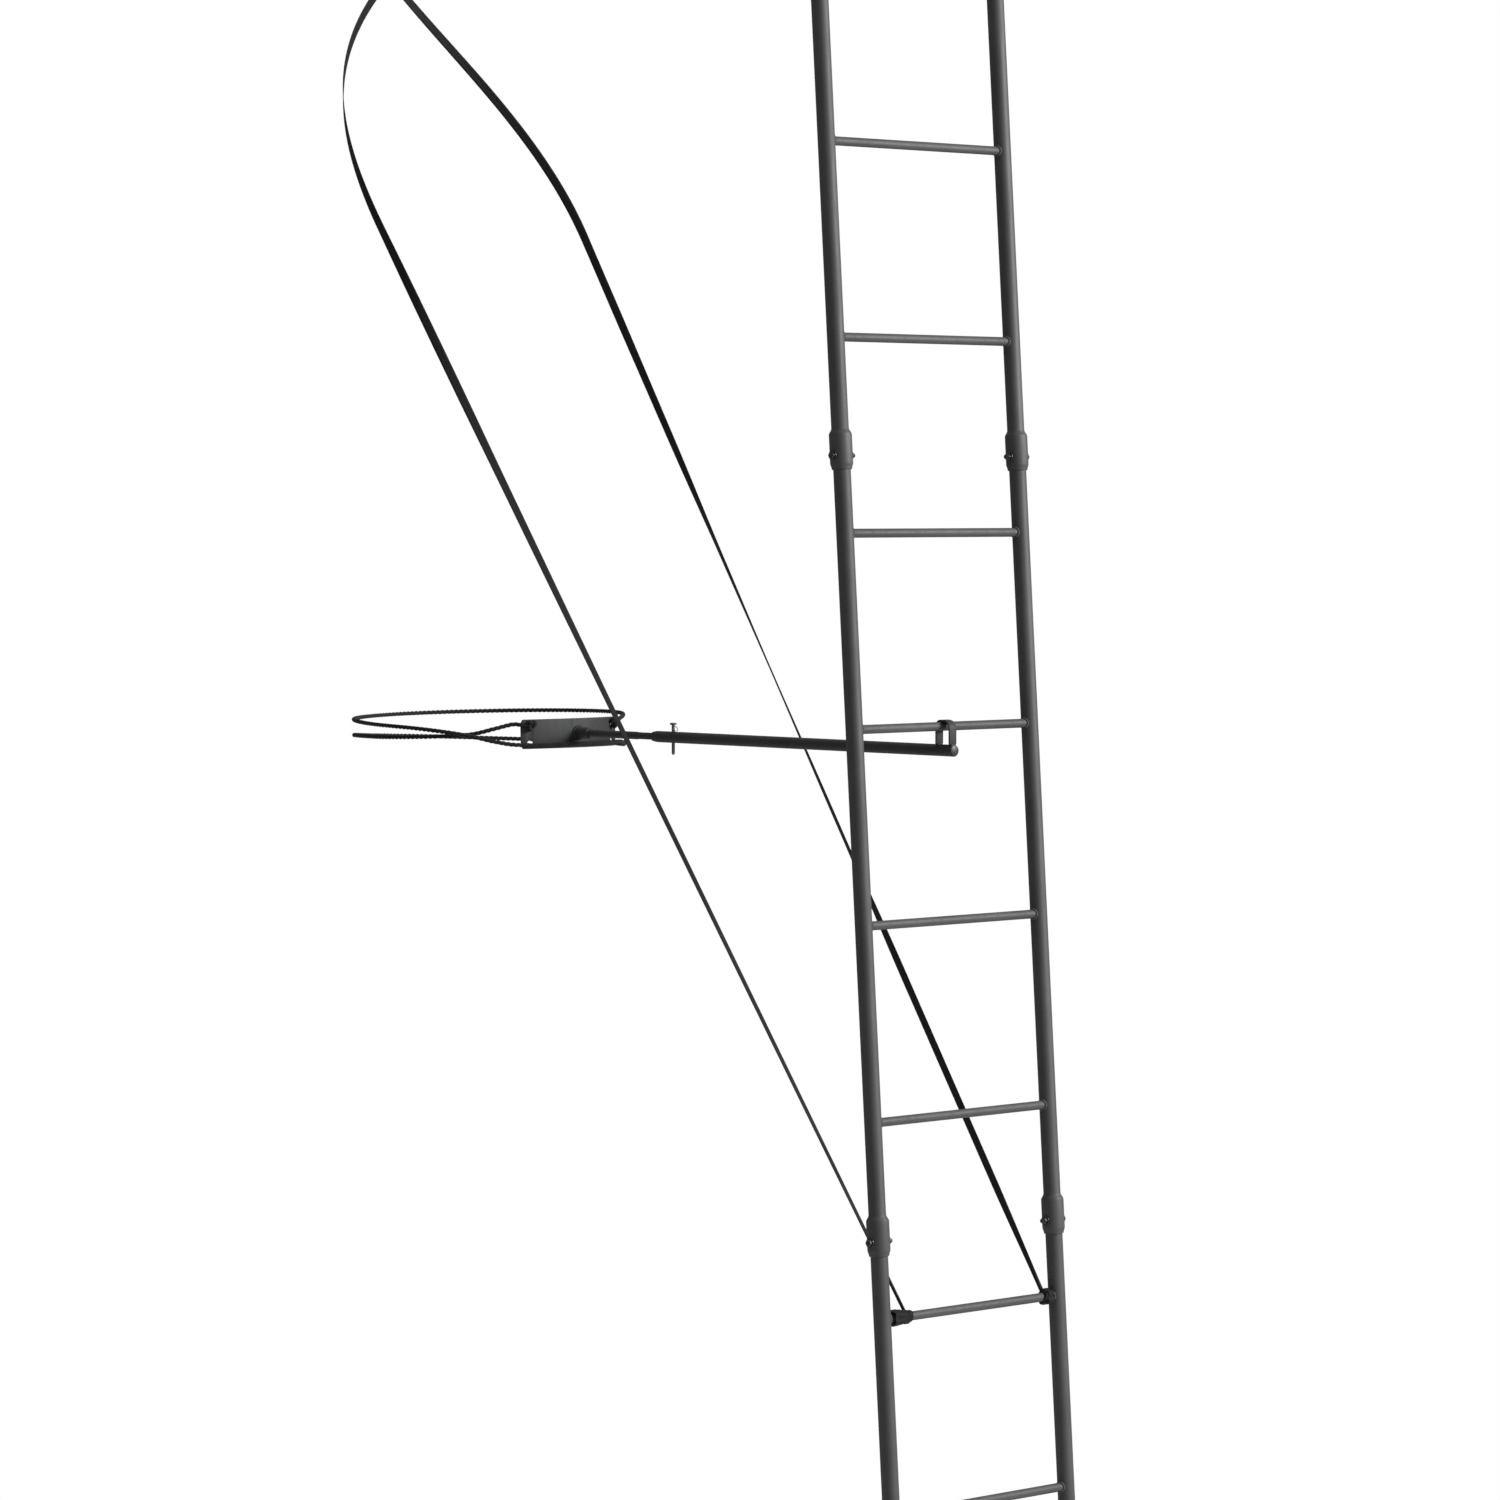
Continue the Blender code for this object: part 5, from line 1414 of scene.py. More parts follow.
def build_cushion():
    """A boxed seat pad: blown up as cloth, then sewn channels pulled in, piping and stitches
    along both rims."""
    low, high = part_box("seat_cushion")
    middle = (low + high) / 2
    size = high - low
    shy = Vector((0.007, 0.007, 0.006))
    bm = bmesh.new()
    bmesh.ops.create_cube(
        bm, size=1,
        matrix=Matrix.Translation(middle) @ Matrix.Diagonal((*(size - 2 * shy), 1)),
    )
    bevel(bm, upright_edges(bm, size.z / 2), PAD_CORNER, 6)
    soften(bm, 0.006, 2, 50)
    obj = piece("seat_pad", bm, CANVAS, "seat", ["seat_cushion"], 180)
    remesh = obj.modifiers.new("even mesh", "REMESH")
    remesh.mode = "VOXEL"
    remesh.voxel_size = PAD_VOXEL
    graph = bpy.context.evaluated_depsgraph_get()
    mesh = bpy.data.meshes.new_from_object(obj.evaluated_get(graph))
    obj.modifiers.remove(remesh)
    obj.data = mesh
    simulated(obj, PAD_PRESSURE, PAD_MOST_SWELL)
    rear, front = high.y, low.y
    channels = [rear + (front - rear) * share for share in PAD_CHANNELS]
    for vert in obj.data.vertices:
        co = vert.co
        top = min(1.0, max(0.0, (co.z - middle.z) / (size.z * 0.30)))
        for line in channels:
            near = abs(co.y - line)
            if near < CHANNEL_REACH and top > 0:
                dip = (0.5 + 0.5 * cos(pi * near / CHANNEL_REACH)) ** 1.6
                co.z -= CHANNEL_DEPTH * top * dip
        # The sides pull in between the corners, and the whole pad is a little uneven.
        co += Vector((0, 0, 1)) * 0.0016 * top * noise.noise(co * 22)
        along_x = (co.x - middle.x) / (size.x / 2)
        along_y = (co.y - middle.y) / (size.y / 2)
        if abs(along_y) > 0.86:
            co.y -= PAD_PULL_IN * (1 - along_x**2) * (1 if along_y > 0 else -1)
        if abs(along_x) > 0.86:
            co.x -= PAD_PULL_IN * (1 - along_y**2) * (1 if along_x > 0 else -1)
        co.z = max(co.z, low.z + 0.0004)
        co.x = min(max(co.x, low.x + 0.0008), high.x - 0.0008)
        co.y = min(max(co.y, low.y + 0.0008), high.y - 0.0008)
    obj.data.materials.clear()
    obj.data.materials.append(CANVAS)
    smooth = obj.modifiers.new("smooth cloth", "SUBSURF")
    smooth.levels = smooth.render_levels = 1
    obj.data.shade_smooth()
    graph = bpy.context.evaluated_depsgraph_get()
    tree = BVHTree.FromObject(obj, graph)

    piping, stitches = bmesh.new(), bmesh.new()
    upper_rim, lower_rim = middle.z + size.z * 0.27, low.z + size.z * 0.16
    for height, drop in ((upper_rim, 1), (lower_rim, -1)):
        rim = []
        count = 150
        for k in range(count):
            a = 2 * pi * k / count
            away = Vector((cos(a), sin(a), 0))
            start = Vector((middle.x, middle.y, height)) + away * 0.5
            hit = tree.ray_cast(start, -away)[0]
            if hit is not None:
                rim.append(hit)
        add_to(piping, swept(rim, tuple(circle(PIPING_R, 10)), True))
        for first, last in zip(rim, rim[1:]):
            if (last - first).length < 0.003:
                continue
            inward = Vector((middle.x - first.x, middle.y - first.y, 0)).normalized()
            offset = Vector((0, 0, -drop * PIPING_TO_STITCH)) + inward * -0.0004
            a, b = first + offset, first.lerp(last, 0.55) + offset
            hits = [tree.find_nearest(point) for point in (a, b)]
            stitch = [hit[0] + hit[1] * 0.0002 for hit in hits]
            add_to(stitches, swept(stitch, tuple(circle(0.0005, 6))))
    for line in channels:
        start, end = low.x + 0.022, high.x - 0.022
        count = int((end - start) / 0.0075)
        for k in range(count):
            pair = []
            for share in (0, 0.6):
                x = start + (end - start) * (k + share) / count
                hit = tree.ray_cast(Vector((x, line, high.z + 0.05)), Vector((0, 0, -1)))
                if hit[0] is not None:
                    pair.append(hit[0] + Vector((0, 0, 0.0002)))
            if len(pair) == 2:
                add_to(stitches, swept(pair, tuple(circle(0.00055, 6)), up=facing_y))
    piece("seat_pad_piping", piping, WEBBING, "seat", (), 60)
    piece("seat_pad_stitching", stitches, THREAD, "seat", (), 60)


def arm_rail_path(x, start, step=0.012):
    """The shooting rail's middle line: back at start, round the front and back again."""
    front = -ARM_RAIL_REACH
    right, left = Vector((x, start, 0)), Vector((-x, start, 0))
    right_corner, left_corner = Vector((x, front, 0)), Vector((-x, front, 0))
    arc_a = rounded_corner(right_corner, right, left_corner, ARM_RAIL_BEND)
    arc_b = rounded_corner(left_corner, right_corner, left, ARM_RAIL_BEND)
    path = straight(right, arc_a[0], step)[:-1] + arc_a
    path += straight(arc_a[-1], arc_b[0], step)[1:-1] + arc_b
    return path + straight(arc_b[-1], left, step)[1:]


def build_shooting_rail():
    pivot = at(0, UPRIGHT_Y, PIVOT_Z)
    x = RAIL_X + UPRIGHT_TUBE / 2 + ARM_RAIL_SIDE_GAP + ARM_RAIL_R
    path = arm_rail_path(x, ARM_RAIL_TAIL)
    outline = tuple(circle(ARM_RAIL_R, 28))
    bm = swept(path, outline)
    soften(bm, 0.0006, 2, 60)
    moved(bm, pivot)
    piece(
        "shooting_rail_bar", bm, PAINT, "shooting_rail", ["shooting_rail"]
    )
    plugs = bmesh.new()
    for sign in (-1, 1):
        plug = spun(
            [(0, 0), (ARM_RAIL_R - 0.0006, 0), (ARM_RAIL_R - 0.0006, 0.0012),
             (ARM_RAIL_R * 0.7, 0.0024), (0, 0.0028)], 28,
        )
        add_to(plugs, plug, pivot @ at(sign * x, ARM_RAIL_TAIL, 0) @ ALONG_Y)
    piece("shooting_rail_plugs", plugs, PLASTIC, "shooting_rail")

    path = arm_rail_path(x, -FOAM_START, 0.006)
    outlines = []
    bore = ARM_RAIL_R + 0.0005
    count = len(path)
    for k, point in enumerate(path):
        end = min(k, count - 1 - k)
        lump = 1 + 0.022 * noise.noise(point * 14)
        # The foam is squeezed into creases on the inside of each bend.
        radius = min(FOAM_R * lump, FOAM_R + 0.0002)
        if end < 3:
            radius = min(radius, FOAM_R - (0.0022, 0.0008, 0.0002)[end])
        in_bend = abs(point.x) > x - ARM_RAIL_BEND and point.y < ARM_RAIL_BEND - ARM_RAIL_REACH
        ring = []
        for side, out in circle(radius, 26):
            crease = max(0.0, side / radius) * 0.0010 * sin(point.length * 520)
            if in_bend:
                side -= crease
            ring.append((side, out))
        outlines.append(tuple(ring))
    bm = bmesh.new()
    add_to(bm, swept(path, outlines))
    # A lip round each end leaves a thin dark line round the bar.
    for sign in (-1, 1):
        lip = spun(
            [(bore, 0.0), (FOAM_R - 0.0024, 0.0), (FOAM_R - 0.0030, 0.0009), (bore, 0.0009)], 26
        )
        add_to(bm, lip, at(sign * x, -FOAM_START - 0.0004, 0) @ ALONG_Y)
    moved(bm, pivot)
    foam = piece(
        "shooting_rail_padding", bm, FOAM, "shooting_rail", ["shooting_rail_foam"], 60
    )


# ---------------------------------------------------------------- upper strap and ratchet


STITCH_PITCH = 0.0035
STITCH_R = 0.00045


def box_stitch(path, width, offset, up):
    """Rows of stitches over a strap's end, a rectangle with a cross in it."""
    bm = bmesh.new()
    first, last = path[0], path[-1]
    along = (last - first).normalized()
    out = up(first.lerp(last, 0.5), 0)
    side = along.cross(out).normalized()
    half = width / 2 * 0.78
    base = out * offset
    corners = [
        first + along * 0.002 + side * half,
        last - along * 0.002 + side * half,
        last - along * 0.002 - side * half,
        first + along * 0.002 - side * half,
    ]
    for first_corner, last_corner in ((0, 1), (1, 2), (2, 3), (3, 0), (0, 2), (1, 3)):
        a, b = corners[first_corner], corners[last_corner]
        count = max(2, int((b - a).length / STITCH_PITCH))
        for k in range(count):
            start = a.lerp(b, k / count) + base
            end = a.lerp(b, (k + 0.62) / count) + base
            add_to(bm, swept([start, end], tuple(circle(STITCH_R, 6)), up=lambda p, k: out))
    return bm


def build_upper_strap():
    lift = 0.0011
    spool_angle = radians(55.2)
    rest_end = 2 * pi - UPPER_REST_HALF_ANGLE
    over = REST_THICKNESS + lift + 0.0006
    spool_r = hypot(*SPOOL_AXIS)
    route = [
        (spool_angle + radians(0.6), spool_r + 0.0088 - TRUNK_R),
        (spool_angle + radians(3.0), spool_r + 0.0070 - TRUNK_R),
        (spool_angle + radians(6.0), 0.0060),
        (spool_angle + radians(9.5), lift),
        (radians(80), lift),
        *((radians(a), lift) for a in range(110, 320, 30)),
        (rest_end - radians(2.4), lift),
        (rest_end - radians(0.9), lift + 0.0022),
        (rest_end + radians(0.5), over),
        (rest_end + radians(3.2), over),
        (rest_end + radians(5.2), over),
    ]
    path = trunk_path([(angle, 0, out) for angle, out in route], UPPER_REST_Z, 0.006)
    outline = tuple(strap_outline(WEB_WIDTH, WEB_THICKNESS))
    bm = swept(path, outline, up=away_from_trunk)
    strap = piece(
        "upper_trunk_strap", bm, WEBBING, "root", ["upper_strap"], 60
    )

    # Its far end folds over the rest and is sewn back onto itself.
    fold = []
    for k in range(16):
        angle = rest_end - radians(7.5) + radians(12.7) * k / 15
        lean_out = lift + 0.0021 + (over - lift) * min(1.0, max(0.0, (k - 8) / 3))
        fold.append(round_trunk(angle, TRUNK_R + lean_out, UPPER_REST_Z))
    bm = swept(fold, outline, up=away_from_trunk)
    doubled = piece("upper_strap_doubling", bm, WEBBING, "root", (), 60)
    stitches = box_stitch(fold[1:8], WEB_WIDTH, 0.0012, away_from_trunk)

    # The tab ties the ratchet's frame to the rest's near end.
    tab_route = [
        (UPPER_REST_HALF_ANGLE - radians(5.2), over),
        (UPPER_REST_HALF_ANGLE - radians(2.6), over),
        (UPPER_REST_HALF_ANGLE - radians(0.6), over),
        (UPPER_REST_HALF_ANGLE + radians(1.0), lift + 0.0024),
        (UPPER_REST_HALF_ANGLE + radians(2.6), lift),
        (UPPER_REST_HALF_ANGLE + radians(6.0), lift),
        (radians(44.0), lift),
        (radians(50.0), lift),
    ]
    tab = trunk_path([(angle, 0, out) for angle, out in tab_route], UPPER_REST_Z, 0.004)
    bm = swept(tab, outline, up=away_from_trunk)
    piece("ratchet_strap_tab", bm, WEBBING, "root", ["ratchet_tab"], 60)
    add_to(stitches, box_stitch(tab[:7], WEB_WIDTH, 0.0012, away_from_trunk))
    piece("strap_stitching", stitches, THREAD, "root", (), 60)


def build_ratchet():
    low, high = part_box("ratchet_spool")
    spool = (low + high) / 2
    turn = Matrix.Rotation(pi - RATCHET_ANGLE, 4, "Z")
    axes = at(0, 0, UPPER_REST_Z) @ turn
    half_width = WEB_WIDTH / 2 + 0.003
    base_radius = TRUNK_R + 0.002 + GAP
    bm = soften(copied("ratchet_frame"), 0.0006, 2, 50)
    # A crosspiece joins the cheeks' tops.
    bar = rod(0.003, -half_width - 0.0012, half_width + 0.0012, 20)
    add_to(bm, bar, axes @ at(-RATCHET_LENGTH / 2 + 0.010, base_radius + 0.015, 0))
    piece("ratchet_body", bm, ZINC, "root", ["ratchet_frame"], 40)

    bm = soften(copied("ratchet_handle"), 0.0006, 2, 50)
    piece("ratchet_lever_yoke", bm, ZINC, "ratchet_handle", ["ratchet_handle"], 40)
    grip_x = RATCHET_LENGTH / 2 - RATCHET_HANDLE_LENGTH
    outside = half_width + 0.0006 + 0.002
    top_y = base_radius + RATCHET_CHEEK + 0.0006 + 0.001
    grip = rounded_box((0.036, 0.0085, 2 * outside + 0.004), None, 0.003, 3)
    for k in range(5):
        groove = rounded_box((0.0026, 0.0020, 2 * outside + 0.0046), None, 0.0006)
        add_to(grip, groove, at(-0.012 + 0.006 * k, 0.0042, 0))
    moved(grip, axes @ at(grip_x + 0.016, top_y + 0.0005, 0))
    piece("ratchet_lever_grip", grip, PLASTIC, "ratchet_handle")
    pawl = rounded_box((0.022, 0.0022, 2 * half_width - 0.003), None, 0.0005)
    moved(pawl, axes @ at(RATCHET_LENGTH / 2 - 0.048, top_y - 0.0026, 0))
    piece("ratchet_pawl", pawl, ZINC, "ratchet_handle", ())

    # The spool: two half-round bars with a slot between them.
    half = (high.z - low.z) / 2
    bm = rod(RATCHET_SPOOL_R, -half, half, 28, 0.0006)
    slot = rounded_box((0.0028, 0.05, 2 * half_width - 0.004), None, 0.0004)
    bm = carved(bm, [slot])
    moved(bm, Matrix.Translation(spool) @ Matrix.Rotation(-RATCHET_ANGLE, 4, "Z"))
    piece("ratchet_spool_slotted", bm, ZINC, "ratchet_spool", ["ratchet_spool"], 40)
    turns = []
    count = 110
    for k in range(count):
        a = 2 * pi * 2.6 * k / (count - 1)
        radius = RATCHET_SPOOL_R + 0.0011 + 0.0019 * a / (2 * pi) * 0.62
        turns.append(spool + Vector((radius * cos(a), radius * sin(a), 0)))
    outline = tuple(strap_outline(WEB_WIDTH - 0.001, 0.0017))
    bm = swept(
        turns, outline, up=lambda p, k: Vector((p.x - spool.x, p.y - spool.y, 0)).normalized()
    )
    piece("strap_on_spool", bm, WEBBING, "ratchet_spool", (), 60)


# ---------------------------------------------------------------- brace


def saddle_edge(offset, leg, steps=14):
    """One side of the hook's outline, from its rear leg over the rung to its front leg."""
    quarter = [pi / 2 * k / steps for k in range(steps + 1)]
    over_rung = RUNG_R + SADDLE_CLEARANCE
    rear = over_rung + offset
    shoulder = SADDLE_SHOULDER_R + offset
    middle_y = -SADDLE_REACH + SADDLE_SHOULDER_R
    middle_z = over_rung - SADDLE_SHOULDER_R
    return [
        (rear, leg),
        *((rear * cos(a), rear * sin(a)) for a in quarter),
        *((middle_y - shoulder * sin(a), middle_z + shoulder * cos(a)) for a in quarter),
        (-SADDLE_REACH - offset, leg),
    ]


def build_brace():
    rung = on_ladder(0, rung_along(BRACE_RUNG))
    hinge = Matrix.Translation(rung) @ Matrix.Rotation(BRACE_RISE, 4, "X")
    bar_z = -BRACE_DROP
    bar = hinge @ at(0, 0, bar_z) @ ALONG_Y

    leg = bar_z + BRACE_TUBE_R + GAP
    outline = saddle_edge(SADDLE_THICKNESS, leg) + saddle_edge(0, leg)[::-1]
    bm = prism(outline, SADDLE_WIDTH)
    soften(bm, 0.0007, 2, 40)
    turned = Matrix(((0, 0, 1, -SADDLE_WIDTH / 2), (1, 0, 0, 0), (0, 1, 0, 0), (0, 0, 0, 1)))
    moved(bm, turned)
    half_thick = SADDLE_THICKNESS / 2
    for y in (-SADDLE_REACH - half_thick, RUNG_R + SADDLE_CLEARANCE + half_thick):
        for edge in (-1, 1):
            line_y = y + edge * (half_thick + 0.0006)
            seam = [
                Vector((BRACE_TUBE_R * sin(a), line_y, bar_z + BRACE_TUBE_R * cos(a)))
                for a in (radians(-38 + 76 * k / 12) for k in range(13))
            ]
            add_to(bm, weld_bead(seam, 0.0018, False, up=facing_y))
    moved(bm, hinge)
    piece("brace_hook", bm, BRACE_PAINT, "brace_outer", ["brace_saddle"], 40)

    end = BRACE_OUTER_LENGTH - BRACE_FRONT
    nose = [
        (BRACE_TUBE_R - (BRACE_TUBE_R - BRACE_BORE - 0.0014) * (1 - cos(pi / 2 * k / 6)),
         end - BRACE_NOSE + BRACE_NOSE * k / 6)
        for k in range(7)
    ]
    bm = spun(
        [
            (BRACE_TUBE_R - 0.0007, -BRACE_FRONT),
            (BRACE_TUBE_R, -BRACE_FRONT + 0.0007),
            *nose,
            (BRACE_BORE, end),
            (BRACE_BORE, -BRACE_FRONT),
        ],
        40,
    )
    pin_y = end - BRACE_PIN_INSET
    hole = rod(PIN_R + 0.0004, -0.03, 0.03, 24)
    moved(hole, BACK_Y)
    bmesh.ops.translate(hole, verts=hole.verts, vec=(0, 0, pin_y))
    bm = carved(bm, [hole])
    moved(bm, bar)
    piece(
        "brace_outer_bar", bm, BRACE_PAINT, "brace_outer", ["brace_outer_tube"]
    )
    plug = spun(
        [(0, -0.0022), (BRACE_TUBE_R * 0.7, -0.0020), (BRACE_TUBE_R - 0.0012, -0.0010),
         (BRACE_TUBE_R - 0.0012, 0.0), (BRACE_BORE - 0.0001, 0.0), (BRACE_BORE - 0.0001, 0.012),
         (0, 0.012)],
        32,
    )
    moved(plug, bar @ at(0, 0, -BRACE_FRONT))
    piece("brace_bar_plug", plug, PLASTIC, "brace_outer")

    claw_front = TRUNK_R + CLAW_STANDOFF + CLAW_THICKNESS
    bar_start = rung + Matrix.Rotation(BRACE_RISE, 3, "X") @ Vector((0, 0, bar_z))
    to_plate = (-claw_front - bar_start.y) / cos(BRACE_RISE)
    tube_end = to_plate - 2 * GAP
    start = tube_end - BRACE_INNER_LENGTH
    bm = spun(
        [
            (BRACE_INNER_BORE, start),
            (BRACE_INNER_R, start),
            (BRACE_INNER_R, tube_end),
            (BRACE_INNER_BORE, tube_end),
        ],
        36,
    )
    half_slot = PIN_R + 0.0004
    slot_length = BRACE_EXTEND + BRACE_RETRACT + 2 * half_slot
    slot = rounded_box((2 * half_slot, 0.05, slot_length), None, 0.0020, 4)
    bmesh.ops.translate(
        slot, verts=slot.verts, vec=(0, 0, pin_y - BRACE_EXTEND - half_slot + slot_length / 2)
    )
    bm = carved(bm, [slot])
    moved(bm, bar)
    piece(
        "brace_inner_bar", bm, BRACE_PAINT, "brace_inner", ["brace_inner_tube"]
    )

    # The pin stands through both tubes, with a split ring in its head.
    bm = spun(
        [
            (0, -PIN_BELOW),
            (PIN_R * 0.55, -PIN_BELOW),
            (PIN_R, -PIN_BELOW + PIN_R),
            (PIN_R, PIN_ABOVE - 0.0040),
            (PIN_HEAD * 0.8, PIN_ABOVE - 0.0040),
            (PIN_HEAD, PIN_ABOVE - 0.0034),
            (PIN_HEAD, PIN_ABOVE - 0.0008),
            (PIN_HEAD * 0.8, PIN_ABOVE),
            (0, PIN_ABOVE),
        ],
        28,
    )
    where = hinge @ at(0, pin_y, bar_z)
    ring_r, wire_r = 0.0065, 0.0007
    ring = [
        Vector((ring_r * cos(a), 0, ring_r * (sin(a) - 1)))
        for a in (2 * pi * k / 40 for k in range(40))
    ]
    loop = swept(ring, tuple(circle(wire_r, 8)), True, up=facing_y)
    tilt = at(0, 0, PIN_ABOVE - 0.0060) @ Matrix.Rotation(radians(-43), 4, "X")
    add_to(bm, loop, tilt)
    moved(bm, where)
    piece("brace_pull_pin", bm, PIN_STEEL, "brace_pin", ["brace_pin"])

    claw_z = bar_start.z + to_plate * sin(BRACE_RISE)
    build_claw(bar, claw_z, to_plate)
    build_trunk_rope(claw_z)


def build_claw(bar, claw_z, to_plate):
    inside = TRUNK_R + CLAW_STANDOFF
    bm = arc_plate(inside, CLAW_THICKNESS, CLAW_HALF_ANGLE, CLAW_HEIGHT, 0.016, 48)
    eyes = []
    for across, up in ((-1, -1), (-1, 1), (1, -1), (1, 1)):
        angle = across * CLAW_EYE_ANGLE
        eye = rod(CLAW_EYE_R, -0.02, 0.02, 28)
        where = round_trunk(angle, inside, up * CLAW_EYE_Z)
        turn = Matrix.Rotation(-angle, 4, "Z") @ Matrix.Rotation(-pi / 2, 4, "X")
        moved(eye, Matrix.Translation(where) @ turn)
        eyes.append(eye)
    bm = soften(carved(bm, eyes), 0.0008, 2, 50)
    bmesh.ops.translate(bm, verts=bm.verts, vec=(0, 0, claw_z))
    neck = spun(
        [
            (BRACE_INNER_R + GAP, to_plate - CLAW_NECK_LENGTH),
            (CLAW_NECK_R - 0.0008, to_plate - CLAW_NECK_LENGTH),
            (CLAW_NECK_R, to_plate - CLAW_NECK_LENGTH + 0.0008),
            (CLAW_NECK_R, to_plate + CLAW_THICKNESS / 2),
            (BRACE_INNER_R + GAP, to_plate + CLAW_THICKNESS / 2),
        ],
        40,
    )
    add_to(bm, neck, bar)
    ring = ring_points(CLAW_NECK_R + 0.0010, to_plate - 0.0010, 90)
    add_ring_weld(bm, bar, ring, 0.0025, facing_y)
    piece("brace_claw", bm, BRACE_PAINT, "brace_inner", ["trunk_claw"], 40)


def rope_skin(path, radius, lay, up):
    """Three strands laid round each other along the path."""
    strand_r = radius * 0.50
    offset = radius - strand_r
    bm = bmesh.new()
    for strand in range(3):
        points, distance = [], 0.0
        for k, point in enumerate(path):
            if k:
                distance += (point - path[k - 1]).length
            side = heading(path, k).cross(up(point, k)).normalized()
            out = side.cross(heading(path, k))
            a = 2 * pi * (distance / lay + strand / 3)
            points.append(point + side * offset * cos(a) + out * offset * sin(a))
        add_to(bm, swept(points, tuple(circle(strand_r, 8)), up=up))
    return bm


def build_trunk_rope(claw_z):
    """Two turns of rope round the trunk, from one upper eye of the claw to the other, and a
    stopper knot at each end."""
    touch = ROPE_R + 0.001
    over = touch + 2 * ROPE_R + 0.0008
    front = CLAW_STANDOFF + CLAW_THICKNESS + ROPE_R + 0.0015
    route = [
        (23.0, 0.018, front - 0.001),
        (26.6, 0.0185, front - 0.001),
        (30.5, 0.020, touch + 0.001),
        (38, 0.012, touch),
        (48, 0.002, touch),
        (62, -0.001, touch),
        (90, -0.002, touch),
        (128, 0.000, touch),
        (180, -0.008, touch),
        (240, -0.022, touch),
        (300, -0.030, touch),
        (322, -0.024, touch + 0.003),
        (334, -0.021, front),
        (360, -0.021, front),
        (386, -0.021, front),
        (397, -0.014, front),
        (408, -0.001, over),
        (420, 0.009, over),
        (436, 0.017, touch + 0.003),
        (460, 0.024, touch),
        (488, 0.031, touch),
        (540, 0.037, touch),
        (600, 0.038, touch),
        (660, 0.033, touch),
        (680, 0.027, touch),
        (689.5, 0.021, touch + 0.001),
        (693.4, 0.0185, front - 0.001),
        (697, 0.018, front - 0.001),
    ]
    path = trunk_path([(radians(turn), *rest) for turn, *rest in route], claw_z, 0.004)
    bm = rope_skin(path, ROPE_R, ROPE_LAY, away_from_trunk)
    rope = piece("trunk_tie_rope", bm, ROPE, "brace_inner", ["trunk_rope"], 60)
    for name, end in (("left", path[0]), ("right", path[-1])):
        outward = Vector((end.x, end.y, 0)).normalized()
        side = outward.cross(Vector((0, 0, 1)))
        loop = [
            end + (side * u + Vector((0, 0, 1)) * v) * 0.0030 + outward * (w * 0.0038 + 0.002)
            for u, v, w in trefoil(56)
        ]
        ball = swept(loop, tuple(circle(0.0036, 9)), True, up=lambda p, k: outward)
        piece(f"rope_{name}_knot", ball, ROPE, "brace_inner", (), 60)


# ---------------------------------------------------------------- stabiliser straps


def strap_route(x, side, lift, end_drop):
    """Middle line of one strap, from the rung to the side of the trunk and round its back to
    the far side tube. It returns the points and how many of them are free of the trunk."""
    start = on_ladder(x, rung_along(STRAP_RUNG))
    radius = TRUNK_R + lift
    away = hypot(start.x, start.y)
    from_angle = atan2(-start.x, -start.y)
    touch_angle = from_angle + side * acos(radius / away)
    run = sqrt(away**2 - radius**2)
    touch = round_trunk(touch_angle, radius, start.z + STRAP_SLOPE * run)
    direction = (touch - start).normalized()
    first = start + direction * STRAP_START
    free = ceil((touch - first).length / 0.012)
    points = [first.lerp(touch, k / free) for k in range(free)]
    end_angle = side * STRAP_END_ANGLE
    end_z = SIDE_UNDERSIDE - end_drop
    arc = abs(end_angle - touch_angle) * radius
    rise = end_z - touch.z
    end_slope = STRAP_END_SLOPE * rise / arc
    count = ceil(arc / 0.010)
    for k in range(count + 1):
        t = k / count
        height = (
            (t**3 - 2 * t**2 + t) * STRAP_SLOPE * arc
            + (3 * t**2 - 2 * t**3) * rise
            + (t**3 - t**2) * end_slope * arc
        )
        angle = touch_angle + (end_angle - touch_angle) * t
        points.append(round_trunk(angle, radius, touch.z + height))
    return points, free


def between(keys, share):
    """The value at a share of the way, eased between (share, value) keys."""
    if share <= keys[0][0]:
        return keys[0][1]
    for (start, first), (end, last) in zip(keys, keys[1:]):
        if share <= end:
            return first + (last - first) * eased((share - start) / (end - start))
    return keys[-1][1]


# Degrees that each strap is turned from flat against the trunk, by share of its free length.
# Past 1 it lies on the bark.
LEFT_TWISTS = ((0.0, 37.0), (0.5, 35.0), (0.75, 28.0), (0.9, 14.0), (1.0, 5.0), (1.1, 0.0))
RIGHT_TWISTS = (
    (0.0, -102.0),
    (0.28, -106.0),
    (0.42, -140.0),
    (0.58, -158.0),
    (0.68, -153.0),
    (0.80, -136.0),
    (0.90, -138.0),
    (1.0, -155.0),
    (1.12, -173.0),
    (1.25, -180.0),
)


